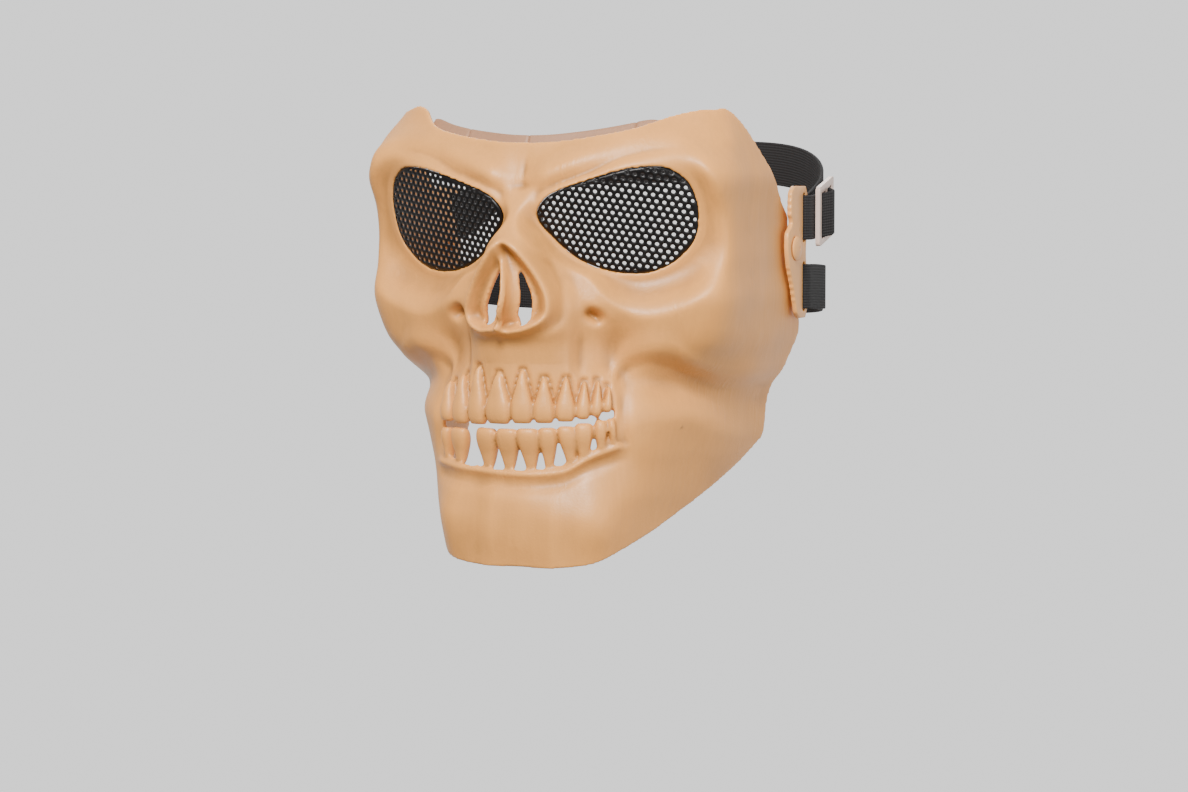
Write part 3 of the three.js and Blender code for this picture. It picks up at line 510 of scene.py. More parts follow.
def curve_across(rows, t):
    """The same curve, with a row of its own for every sample"""
    before, after = 2 * rows[:, :1] - rows[:, 1:2], 2 * rows[:, -1:] - rows[:, -2:-1]
    padded = np.concatenate([before, rows, after], axis=1)
    k = np.clip(np.floor(t), 0, rows.shape[1] - 2).astype(int)
    f = t - k
    a, b, c, d = (np.take_along_axis(padded, (k + step)[:, None], 1)[:, 0] for step in range(4))
    return b + 0.5 * f * (c - a + f * (2 * a - 5 * b + 4 * c - d + f * (3 * (b - c) + d - a)))


def row_of(column, value):
    """The place of a value in a rising column, as a fractional row number"""
    column = np.asarray(column, dtype=float)
    k = np.clip(np.searchsorted(column, value) - 1, 0, len(column) - 2)
    return k + (value - column[k]) / (column[k + 1] - column[k])


def look_up(table, key, value, wanted):
    """The wanted value of a table, smoothly between its rows"""
    row = np.clip(row_of([entry[key] for entry in table], value), 0, len(table) - 1)
    return curve([entry[wanted] for entry in table], row)


def bell(x, middle, spread):
    """A smooth bump of height 1"""
    return np.exp(-(((x - middle) / spread) ** 2))


def ramp(x, start, end):
    """A smooth step from 0 to 1"""
    share = np.clip((x - start) / (end - start), 0, 1)
    return share * share * (3 - 2 * share)


def height_of(level):
    """Height above the inner corners of the eyes, for a share of the mask's height above the chin"""
    return level * MASK_HEIGHT - EYE_LEVEL


def level_of(z):
    """Share of the mask's height above the chin, for a height above the inner corners of the eyes"""
    return (z + EYE_LEVEL) / MASK_HEIGHT


def bite_height(share):
    """Height of a point of a tooth or of the mouth, for a share of the tooth reach above the bite"""
    return BITE_HEIGHT + share * TOOTH_REACH


SIDES = np.array([section["side"] for section in SECTIONS])
DEPTHS = np.array([section["depth"] for section in SECTIONS])
LEVELS = [section["level"] for section in SECTIONS]
STATIONS = SIDES.shape[1] - 1


def plain_form(across, z):
    """Side and depth of the face between its sections, without any relief"""
    row = row_of(LEVELS, level_of(z))
    side = HALF_WIDTH * curve(SIDES, row)
    depth = FACE_DEPTH * curve(DEPTHS, row)
    t = np.abs(across) * STATIONS + 1
    x = curve_across(np.concatenate([-side[:, 1:2], side], axis=1), t)
    y = curve_across(np.concatenate([depth[:, 1:2], depth], axis=1), t)
    return np.sign(across) * x, y


def edge_height(edge, across):
    """Height of the upper or lower edge of the face"""
    return height_of(curve([edge[1], *edge], np.abs(across) * STATIONS + 1))


def rim_height(across):
    """Height of the forehead rim, with the higher horn on the wearer's right"""
    return edge_height(TOP_EDGE, across) + HORN_LIFT * bell(across, HORN_ACROSS, HORN_SPREAD)


def eye_reach(dx, dz):
    """Distance from the middle of an eye to its outline, in the direction of a point"""
    angle = np.degrees(np.arctan2(dz, dx)) % 360
    closed = [*EYE_OUTLINE, {"angle": 360, "reach": EYE_OUTLINE[0]["reach"]}]
    return EYE_REACH * look_up(closed, "angle", angle, "reach")


def eye_share(x, z):
    """Place of a point in or round an eye, with 1 on its outline"""
    dx, dz = np.abs(x) - EYE_SIDE, z - EYE_HEIGHT
    return np.hypot(dx, dz) / eye_reach(dx, dz)


def socket_reach(x, z):
    """How far out the socket runs, close at the brow and nose and further below and at the temple"""
    dx, dz = np.abs(x) - EYE_SIDE, z - EYE_HEIGHT
    length = np.maximum(np.hypot(dx, dz), 1)
    outer, low = ramp(dx / length, -0.5, 0.3), ramp(-dz / length, -0.3, 0.3)
    return SOCKET_REACH + SOCKET_SLOPE * outer * (0.4 + 1.2 * low)


def plate_depth(x, z):
    """Depth of an eye plate, which leans, sweeps back and is slightly domed"""
    dx = np.abs(x) - EYE_SIDE
    dome = dx * dx / (2 * PLATE_CURVE_RADIUS)
    return PLATE_DEPTH + PLATE_SWEEP * dx - PLATE_LEAN * (z - EYE_HEIGHT) + dome


def relief(x, z):
    """Brow, nose and broad swellings of the face"""
    side, level = np.abs(x) / HALF_WIDTH, level_of(z)
    nose_height = (z - NOSE_FOOT) / NOSE_HEIGHT
    crest = look_up(BROW_LINE, "side", side, "level")
    fade = ramp(side, 0.02, 0.15) * (1 - BROW_FADE * ramp(side, 0.8, 1))
    rise = BROW_RISE * bell(level, crest, BROW_SPREAD) * fade
    half = NOSE_HALF_WIDTH * look_up(NOSE_MOUND, "height", nose_height, "half")
    mound = NOSE_RISE * look_up(NOSE_MOUND, "height", nose_height, "rise")
    rise = rise + mound * np.exp(-0.9 * (x / half) ** 4)
    for dent in SWELLINGS:
        across = bell(side, dent["side"], dent["sideSpread"])
        upright = bell(level, dent["level"], dent["levelSpread"])
        rise = rise + FACE_DEPTH * dent["rise"] * across * upright
    return rise


def outline_distance(x, z, outline):
    """Distance of points to a closed outline, negative inside it"""
    nearest = np.full(x.shape, 1e9)
    inside = np.zeros(x.shape, dtype=bool)
    for (ax, az), (bx, bz) in zip(outline, [*outline[1:], outline[0]]):
        ex, ez = bx - ax, bz - az
        share = np.clip(((x - ax) * ex + (z - az) * ez) / (ex * ex + ez * ez), 0, 1)
        nearest = np.minimum(nearest, np.hypot(x - ax - share * ex, z - az - share * ez))
        crosses = (az > z) != (bz > z)
        inside ^= crosses & (x < ax + ex * (z - az) / (ez if ez else 1e-9))
    return np.where(inside, -nearest, nearest)


def smooth_outline(outline, steps=6):
    """A closed outline with rounded corners"""
    ring = np.array([*outline[-2:], *outline, *outline[:3]], dtype=float)
    t = 2 + np.arange(len(outline) * steps) / steps
    return [tuple(point) for point in curve(ring, t)]


def nose_carving(x, z):
    """Hollow of the nose with its rolled lip, the ridge between the nostrils and the groove round it"""
    gap = outline_distance(x, z, smooth_outline(NOSE_RIM))
    middle = look_up(SEPTUM, "z", z, "x")
    ridge = look_up(SEPTUM, "z", z, "rise")
    hollow = -NOSE_HOLLOW * ramp(-gap, 0.8, 5.5)
    lip = NOSE_LIP * bell(gap, -0.4, 1.7)
    septum = ridge * bell(x, middle, 1.5) * ramp(-gap, -1.5, 3)
    groove = -NOSE_GROOVE * bell(gap, 4.4, 2.0) * ramp(z, -66, -56) * (1 - ramp(z, -30, -22))
    return hollow + lip + septum + groove


def pit_carving(x, z, pit):
    """A small slanting pit with a faint lip above it"""
    side, height, tilt = pit
    dx, dz = x - side, z - height
    along = dx * np.cos(tilt) + dz * np.sin(tilt)
    over = dz * np.cos(tilt) - dx * np.sin(tilt)
    hole = -PIT_DEPTH * np.exp(-((along / 4.0) ** 4) - (over / 2.2) ** 2)
    return hole + PIT_LIP * np.exp(-((along / 6.5) ** 2) - ((over - 4.2) / 2.4) ** 2)


def cheek_carving(side, z):
    """Lower edge of the cheekbone and the hollow under it"""
    below = look_up(CHEEK_EDGE, "side", side, "height") - z
    reach = ramp(side, 42, 52) * (1 - ramp(side, 84, 94))
    hollow = -CHEEK_HOLLOW * ramp(below, -1, 8) * (1 - ramp(below, 12, 34))
    return reach * (hollow + CHEEK_LIP * bell(below, -4, 4.5))


def gum_carving(x, z):
    """Ledge below the lower teeth"""
    drop = look_up(GUM_LINE, "side", x, "height") - z
    reach = 1 - ramp(np.abs(x), 44, 52)
    return reach * (GUM_LEDGE * bell(drop, 0.6, 1.9) - GUM_HOLLOW * bell(drop, 6.5, 3.0))


def carving(x, z):
    """Fine relief cut into the bone form"""
    rise = np.zeros(x.shape)
    near = (np.abs(x) < 34) & (z > -76) & (z < -8)
    if near.any():
        rise[near] += nose_carving(x[near], z[near])
    for pit in PITS:
        rise += pit_carving(x, z, pit)
    side = np.abs(x)
    rise += cheek_carving(side, z) + gum_carving(x, z)
    rise += -CANINE_HOLLOW * ramp(side, 24, 31) * (1 - ramp(side, 42, 64)) * bell(z, -73, 15)
    rise += -MOUTH_FOLD * bell(side, 48.5, 2.4) * ramp(z, -124, -112) * (1 - ramp(z, -98, -86))
    rise += CHIN_RISE * (1 - ramp(np.abs(x - 4), 14, 25)) * (1 - ramp(z, -142, -128))
    rise += root_grooves(x, z)
    for form in SOFT_FORMS:
        place = side if form["both"] else x
        swell = bell(place, form["side"], form["wide"]) * bell(z, form["height"], form["tall"])
        rise += form["rise"] * swell
    wave = np.sin(0.21 * x + 0.13 * z) * np.sin(0.17 * z - 0.11 * x + 1.3)
    return rise + UNEVENNESS * wave


def root_grooves(x, z):
    """Narrow grooves on both sides of each upper tooth, which meet over the tip of its root"""
    rise = np.zeros(x.shape)
    near = (np.abs(x) < 52) & (z > -112) & (z < -74)
    if not near.any():
        return rise
    nx, nz = x[near], z[near]
    deepest = np.zeros(nx.shape)
    for tooth in UPPER_TEETH:
        bite, root = bite_height(tooth["bite"]), bite_height(tooth["root"])
        along = (nz - bite) / (root - bite)
        width = tooth["half"] * ARCH_HALF * look_up(TOOTH_FORM, "along", along, "width")
        gap = np.abs(nx - tooth["side"] * ARCH_HALF) - width
        over = np.maximum(nz - root, 0)
        gap = np.where(over > 0, np.hypot(np.maximum(gap, 0), over), gap)
        deepest = np.minimum(deepest, -ROOT_GROOVE * bell(gap, 0.5, 1.1))
    rise[near] = deepest
    return rise


def face_point(across, z, fine=True):
    """A point of the outer face, for a share across and a height"""
    x, y = plain_form(across, z)
    rise = relief(x, z)
    if fine:
        rise = rise + carving(x, z)
    turn = np.arctan2(x, SPINE_DEPTH - y)
    x, y = x + rise * np.sin(turn), y - rise * np.cos(turn)
    share = eye_share(x, z)
    front = 1 - ramp(y, SOCKET_END / 2, SOCKET_END)
    socket = front * (1 - ramp(share, 1, socket_reach(x, z)))
    y = y + socket * (plate_depth(x, z) - PLATE_THICKNESS / 2 - y)
    if fine:
        y = y - SOCKET_LIP * bell(share, 1.05, 0.05)
    return np.stack([x, y, z], axis=1)


def face_normal(across, z, fine=False):
    """The direction that the outer face looks in"""
    right = face_point(across + 0.01, z, fine) - face_point(across - 0.01, z, fine)
    up = face_point(across, z + 1.5, fine) - face_point(across, z - 1.5, fine)
    normal = np.cross(right, up)
    return normal / np.linalg.norm(normal, axis=1, keepdims=True)


def across_of(x, z):
    """The share across at which the outer face lies at a given side"""
    low, high = np.full(x.shape, -0.75), np.full(x.shape, 0.75)
    for _ in range(22):
        middle = (low + high) / 2
        less = face_point(middle, z, False)[:, 0] < x
        low, high = np.where(less, middle, low), np.where(less, high, middle)
    return (low + high) / 2


def to_frame(points):
    """Millimetres from the inner corners of the eyes to metres from the seat"""
    return (np.asarray(points) + SEAT_SHIFT) / 1000


def mapped_grid(mesh, columns, rows, place, wrap=False, stripes=None):
    """A grid whose vertices are moved to their places by one function of two shares"""
    made = bmesh.ops.create_grid(mesh, x_segments=columns, y_segments=rows, size=0.5)["verts"]
    shares = np.array([(v.co.x + 0.5, v.co.y + 0.5) for v in made])
    places = to_frame(place(shares[:, 0], shares[:, 1]))
    if stripes:
        layer = mesh.loops.layers.uv.verify()
        faces = {face for v in made for face in v.link_faces}
        for face in faces:
            for loop in face.loops:
                loop[layer].uv = stripes(loop.vert.co.x + 0.5, loop.vert.co.y + 0.5)
    for vertex, spot in zip(made, places):
        vertex.co = spot
    if wrap:
        edges = {edge for v in made for edge in v.link_edges if edge.is_boundary}
        rim = list({v for edge in edges for v in edge.verts})
        bmesh.ops.remove_doubles(mesh, verts=rim, dist=1e-6)
        made = [v for v in made if v.is_valid]
    return made


def close_holes(mesh, verts):
    """Closes the open ends of a tube"""
    edges = {edge for v in verts if v.is_valid for edge in v.link_edges if edge.is_boundary}
    bmesh.ops.holes_fill(mesh, edges=list(edges), sides=0)


def add_piece(name, mesh, material, node, sharp=35):
    """Turns a finished bmesh into an object that rides with the mask and stands for a node"""
    data = bpy.data.meshes.new(name)
    mesh.to_mesh(data)
    mesh.free()
    data.materials.append(material)
    piece = bpy.data.objects.new(name, data)
    bpy.context.scene.collection.objects.link(piece)
    data.shade_smooth()
    data.set_sharp_from_angle(angle=math.radians(sharp))
    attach(piece, "root")
    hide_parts(node)
    return piece


def shade_hollows(piece, reach=7):
    """Stores how deep each vertex lies in a hollow, from 0 on a ridge to 1 in a groove; the bone finish
    turns it into painted shade in the hollows and a painted highlight on the ridges
    """
    data = piece.data
    count = len(data.vertices)
    spots, normals = np.zeros(count * 3), np.zeros(count * 3)
    ends = np.zeros(len(data.edges) * 2, dtype=int)
    data.vertices.foreach_get("co", spots)
    data.vertices.foreach_get("normal", normals)
    data.edges.foreach_get("vertices", ends)
    spots, normals, ends = spots.reshape(-1, 3), normals.reshape(-1, 3), ends.reshape(-1, 2)
    number = np.bincount(ends.ravel(), minlength=count)[:, None]
    even = spots.copy()
    for _ in range(reach):
        total = np.zeros_like(even)
        for axis in range(3):
            total[:, axis] = (np.bincount(ends[:, 0], even[ends[:, 1], axis], count)
                              + np.bincount(ends[:, 1], even[ends[:, 0], axis], count))
        even = total / np.maximum(number, 1)
    depth = ((even - spots) * normals).sum(axis=1) * 1000
    hollow = data.attributes.new("hollow", "FLOAT", "POINT")
    hollow.data.foreach_set("value", np.clip(0.5 + depth * 1.6, 0, 1))


def settle(piece):
    """Applies the modifiers of a piece"""
    bpy.context.view_layer.update()
    view = bpy.context.evaluated_depsgraph_get()
    data = bpy.data.meshes.new_from_object(piece.evaluated_get(view))
    piece.modifiers.clear()
    piece.data = data


def round_edges(piece, width, segments=3):
    """Rounds the sharp edges of a piece, by a width in millimetres"""
    bevel = piece.modifiers.new("rounding", "BEVEL")
    bevel.width = width / 1000
    bevel.segments = segments
    bevel.limit_method = "ANGLE"
    bevel.angle_limit = math.radians(50)
    settle(piece)
    piece.data.shade_smooth()
    piece.data.set_sharp_from_angle(angle=math.radians(35))


class Socket:
    """One value in a material, with plain arithmetic"""

    def __init__(self, finish, socket):
        self.finish = finish
        self.socket = socket

    def _math(self, operation, first, second):
        """A sum, difference or product as a new value"""
        return self.finish.node("ShaderNodeMath", {"operation": operation}, {0: first, 1: second})

    def __add__(self, other):
        return self._math("ADD", self, other)

    def __sub__(self, other):
        return self._math("SUBTRACT", self, other)

    def __mul__(self, other):
        return self._math("MULTIPLY", self, other)

    __radd__ = __add__
    __rmul__ = __mul__

    def __rsub__(self, other):
        return self._math("SUBTRACT", other, self)


class NodeTree:
    """The nodes of a material or of the room's light"""

    def __init__(self, owner):
        owner.use_nodes = True
        self.tree = owner.node_tree

    def node(self, kind, settings=None, inputs=None, output=0):
        """Adds a node with its settings and inputs and gives one of its outputs"""
        made = self.tree.nodes.new(kind)
        for key, value in (settings or {}).items():
            setattr(made, key, value)
        for key, value in (inputs or {}).items():
            self.feed(made.inputs[key], value)
        return Socket(self, made.outputs[output])

    def feed(self, target, value):
        """Links a value to an input, or sets the input to a plain value"""
        if isinstance(value, Socket):
            self.tree.links.new(value.socket, target)
        else:
            target.default_value = value


class Finish(NodeTree):
    """A material and the nodes that make it"""

    def __init__(self, name):
        self.material = bpy.data.materials.new(name)
        super().__init__(self.material)
        self.shader = self.tree.nodes["Principled BSDF"]

    def place(self, stretch=(1, 1, 1)):
        """Place on the piece, stretched along its axes"""
        spot = self.node("ShaderNodeTexCoord", output="Object")
        return self.node("ShaderNodeMapping", None, {"Vector": spot, "Scale": stretch})

    def noise(self, spot, scale, detail=4.0):
        """Cloudy noise between 0 and 1"""
        return self.node("ShaderNodeTexNoise", None, {"Vector": spot, "Scale": scale, "Detail": detail})

    def mix(self, share, first, second):
        """A colour between two, where the first may come from another mix"""
        settings = {"data_type": "RGBA", "clamp_factor": True}
        start = first if isinstance(first, Socket) else (*first, 1)
        return self.node("ShaderNodeMix", settings, {0: share, 6: start, 7: (*second, 1)}, output=2)

    def contrast(self, value, low, high):
        """Spreads a value so that it runs from 0 at low to 1 at high"""
        return self.node("ShaderNodeMapRange", None, {"Value": value, "From Min": low, "From Max": high})

    def bump(self, height, strength, distance):
        """Shading normal for a fine relief"""
        inputs = {"Height": height, "Strength": strength, "Distance": distance}
        return self.node("ShaderNodeBump", None, inputs)

    def close(self, **values):
        """Feeds the shader and gives the finished material"""
        for key, value in values.items():
            self.feed(self.shader.inputs[key.replace("_", " ")], value)
        return self.material


def scaled(colour, factor):
    """A lighter or darker colour"""
    return tuple(min(1.0, channel * factor) for channel in colour)


def moulded_finish(name, colour, roughness, grain=1.0, painted_shade_and_highlight=False):
    """Satin moulded plastic: soft clouding, fine grain and faint upright brush marks, and on request
    painted shade in hollows and a painted highlight on ridges
    """
    finish = Finish(name)
    spot = finish.place()
    clouds = finish.contrast(finish.noise(spot, 24.0), 0.3, 0.7)
    grit = finish.noise(spot, 900.0, 2.0)
    brush = finish.contrast(finish.noise(finish.place((1, 1, 0.06)), 520.0, 3.0), 0.35, 0.75)
    patches = finish.contrast(finish.noise(spot, 60.0), 0.52, 0.75)
    share = clouds * 0.5 + brush * 0.28 + grit * 0.22
    tone = finish.mix(share, scaled(colour, 0.88), scaled(colour, 1.08))
    if painted_shade_and_highlight:
        # Painted shade: the colour darkens to half in hollows and grooves. Painted highlight: it brightens
        # on ridges
        depth = finish.node("ShaderNodeAttribute", {"attribute_name": "hollow"}, output=2)
        tone = finish.mix(finish.contrast(depth, 0.55, 1.0) * 0.75, tone, scaled(colour, 0.5))
        tone = finish.mix(finish.contrast(depth, 0.42, 0.0) * 0.5, tone, scaled(colour, 1.22))
    height = grit * 0.35 + brush * patches * 1.1 + clouds * 0.3
    return finish.close(
        Base_Color=tone,
        Roughness=roughness + 0.12 * clouds + 0.06 * grit - 0.05 * brush,
        Normal=finish.bump(height, 0.42 * grain, 0.0005),
    )


def painted_finish(name, colour):
    """Black satin paint on pressed steel, rubbed thin in places"""
    finish = Finish(name)
    spot = finish.place()
    wear = finish.contrast(finish.noise(spot, 160.0), 0.5, 0.8)
    grit = finish.noise(spot, 1600.0, 2.0)
    return finish.close(
        Base_Color=finish.mix(wear * 0.6, colour, scaled(colour, 2.2)),
        Metallic=0.35,
        Roughness=0.3 + 0.14 * grit + 0.1 * wear,
        Normal=finish.bump(grit, 0.2, 0.0002),
    )


def woven_finish(name, colour):
    """Elastic webbing: fine ribs along the band, crossed by rows of weft"""
    finish = Finish(name)
    spot = finish.node("ShaderNodeTexCoord", output="UV")
    ribs = finish.node("ShaderNodeTexWave", {"bands_direction": "Y"}, {"Vector": spot, "Scale": 230.0})
    weft = finish.node("ShaderNodeTexWave", {"bands_direction": "X"}, {"Vector": spot, "Scale": 300.0})
    fuzz = finish.noise(finish.place(), 1400.0)
    weave = ribs * 0.6 + weft * 0.4
    shade = weave * 0.6 + fuzz * 0.5
    return finish.close(
        Base_Color=finish.mix(shade, scaled(colour, 0.5), scaled(colour, 1.9)),
        Roughness=0.78 + 0.16 * fuzz,
        Normal=finish.bump(weave + 0.4 * fuzz, 0.7, 0.0006),
    )


class MaskSizes(bpy.types.PropertyGroup):
    """Sizes of the dressed mask"""

    wall: bpy.props.FloatProperty(
        name="Wall", description="Thickness of the moulded face", default=SHELL_WALL / 1000, min=0.0015,
        unit="LENGTH")
    grain: bpy.props.FloatProperty(
        name="Skin detail", description="Size of the smallest form kept on the face", default=0.0008,
        unit="LENGTH")
    hole_pitch: bpy.props.FloatProperty(
        name="Hole pitch", description="Distance between the holes of an eye plate", default=0.0033,
        unit="LENGTH")
    hole: bpy.props.FloatProperty(
        name="Hole", description="Width of a hole of an eye plate", default=0.00178, unit="LENGTH")
    sheet: bpy.props.FloatProperty(
        name="Sheet", description="Thickness of the pressed eye plates", default=0.0007, unit="LENGTH")


class MaskColours(bpy.types.PropertyGroup):
    """Colours of the dressed mask"""

    bone: bpy.props.FloatVectorProperty(
        name="Bone", description="Moulded face", subtype="COLOR", default=(0.69, 0.295, 0.066))
    strip: bpy.props.FloatVectorProperty(
        name="Strip", description="Strip behind the forehead rim", subtype="COLOR",
        default=(0.34, 0.175, 0.095))
    paint: bpy.props.FloatVectorProperty(
        name="Paint", description="Eye plates", subtype="COLOR", default=(0.004, 0.003, 0.003))
    bracket: bpy.props.FloatVectorProperty(
        name="Brackets", description="Strap brackets and rivets", subtype="COLOR",
        default=(0.74, 0.345, 0.10))
    webbing: bpy.props.FloatVectorProperty(
        name="Webbing", description="Elastic straps", subtype="COLOR", default=(0.007, 0.006, 0.006))
    slide: bpy.props.FloatVectorProperty(
        name="Slide", description="Strap slide", subtype="COLOR", default=(0.66, 0.50, 0.42))


def tooth_posts(mesh, teeth, upper):
    """Oval posts with broad crowns and thin roots, set on the outer face"""
    for tooth in teeth:
        top = bite_height(look_up(MOUTH_EDGE, "side", np.array([tooth["side"]]), "top")[0])
        bite = bite_height(tooth["bite"]) if upper else top - BITE_GAP
        root, inset = bite_height(tooth["root"]), 0.3 if upper else LOWER_TOOTH_INSET + 0.7
        lean, half = tooth.get("lean", 0), tooth["half"] * ARCH_HALF

        def place(turn, along):
            slender = 1 if upper else 1 - LOWER_ROOT_WIDTH
            width = half * (1 - slender * (1 - look_up(TOOTH_FORM, "along", along, "width")))
            depth = TOOTH_PROUD * TOOTH_SWELL * look_up(TOOTH_FORM, "along", along, "depth")
            angle = 2 * np.pi * turn
            px = np.sign(np.cos(angle)) * np.abs(np.cos(angle)) ** 0.8
            pz = np.sign(np.sin(angle)) * np.abs(np.sin(angle)) ** 0.8
            z = bite + (root - bite) * along
            middle = (tooth["side"] + lean * along) * ARCH_HALF
            share = across_of(middle, z)
            outward = face_normal(share, z)
            outward[:, 2] = 0
            outward /= np.linalg.norm(outward, axis=1, keepdims=True)
            sideways = np.stack([-outward[:, 1], outward[:, 0], outward[:, 2]], axis=1)
            spot = face_point(share, z, False) + outward * (depth * pz - inset)[:, None]
            spot += sideways * (width * px)[:, None]
            spot[:, 2] = z
            return spot

        made = mapped_grid(mesh, TOOTH_COLUMNS, TOOTH_ROWS, place, wrap=True)
        close_holes(mesh, made)


class MASK_OT_face(bpy.types.Operator):
    """Moulded skull face with its sockets, nose and teeth"""

    bl_idname = "mask.face"
    bl_label = "Skull face"

    def execute(self, context):
        sizes, colours = context.scene.mask_sizes, context.scene.mask_colours
        mesh = bmesh.new()

        def place(u, v):
            across = np.sign(2 * u - 1) * np.abs(2 * u - 1) ** 1.2
            top, bottom = rim_height(across), edge_height(BOTTOM_EDGE, across)
            return face_point(across, bottom + (top - bottom) * v)

        mapped_grid(mesh, FACE_COLUMNS, FACE_ROWS, place)
        centres = np.array([face.calc_center_median() for face in mesh.faces]) * 1000 - SEAT_SHIFT
        x, y, z = centres.T
        cut = eye_share(x, z) < 1
        for outline in NOSTRILS:
            cut |= (outline_distance(x, z, smooth_outline(outline)) < 0) & (y < NOSTRIL_REACH)
        side = x / ARCH_HALF
        top = bite_height(look_up(MOUTH_EDGE, "side", side, "top"))
        bottom = bite_height(look_up(MOUTH_EDGE, "side", side, "bottom"))
        span = (side > MOUTH_EDGE[0]["side"]) & (side < MOUTH_EDGE[-1]["side"])
        cut |= span & (z < top) & (z > bottom) & (y < MOUTH_REACH)
        cut |= (y > NOTCH_DEPTH) & (np.abs(z - RIVET_HEIGHT) < NOTCH_HALF)
        mesh.faces.ensure_lookup_table()
        gone = [mesh.faces[k] for k in np.nonzero(cut)[0]]
        bmesh.ops.delete(mesh, geom=gone, context="FACES")
        bmesh.ops.smooth_vert(mesh, verts=[v for v in mesh.verts if v.is_boundary], factor=0.5,
                              use_axis_x=True, use_axis_y=True, use_axis_z=True)
        bmesh.ops.recalc_face_normals(mesh, faces=mesh.faces)
        bmesh.ops.solidify(mesh, geom=mesh.faces[:], thickness=sizes.wall)
        tooth_posts(mesh, UPPER_TEETH, True)
        tooth_posts(mesh, LOWER_TEETH, False)
        bmesh.ops.recalc_face_normals(mesh, faces=mesh.faces)
        # The last True paints shade into the hollows and a highlight onto the ridges of the face
        finish = moulded_finish("bone plastic", colours.bone, 0.4, 1.0, True)
        piece = add_piece("skull_face", mesh, finish, "shell")
        remesh = piece.modifiers.new("one skin", "REMESH")
        remesh.mode = "VOXEL"
        remesh.voxel_size = sizes.grain * 1
        smooth = piece.modifiers.new("soft edges", "SMOOTH")
        smooth.factor, smooth.iterations = 0.5, 3
        settle(piece)
        faces = sum(len(polygon.vertices) - 2 for polygon in piece.data.polygons)
        if faces > MOST_FACES:
            thin = piece.modifiers.new("fewer faces", "DECIMATE")
            thin.ratio = MOST_FACES / faces
            settle(piece)
        piece.data.shade_smooth()
        # Hollow depth, which the finish turns into painted shade in hollows and a painted highlight on
        # ridges
        shade_hollows(piece)
        return {"FINISHED"}


class MASK_OT_strip(bpy.types.Operator):
    """Thin strip glued behind the forehead rim, in lengths with dark partings"""

    bl_idname = "mask.strip"
    bl_label = "Forehead strip"

    def execute(self, context):
        mesh = bmesh.new()

        def place(u, v):
            across = (2 * u - 1) * TRIM_REACH
            rim = rim_height(across)
            shown = TRIM_SHOWN * (1 - (2 * u - 1) ** TRIM_FADE) + TRIM_END
            z = rim - TRIM_HIDDEN + (shown + TRIM_HIDDEN) * v
            spot, normal = face_point(across, z, False), face_normal(across, z)
            parting = sum(bell(spot[:, 0], x, PARTING_WIDTH) for x in TRIM_PARTINGS)
            inward = SHELL_WALL + TRIM_GAP + TRIM_THICKNESS / 2 + PARTING_DEPTH * parting
            return spot - normal * inward[:, None]

        mapped_grid(mesh, TRIM_COLUMNS, TRIM_ROWS, place)
        bmesh.ops.recalc_face_normals(mesh, faces=mesh.faces)
        finish = moulded_finish("strip plastic", context.scene.mask_colours.strip, 0.45, 0.6)
        piece = add_piece("forehead_strip", mesh, finish, "brow_trim")
        wall = piece.modifiers.new("thickness", "SOLIDIFY")
        wall.thickness, wall.offset = TRIM_THICKNESS / 1000, 0
        settle(piece)
        round_edges(piece, TRIM_ROUNDING, 2)
        return {"FINISHED"}


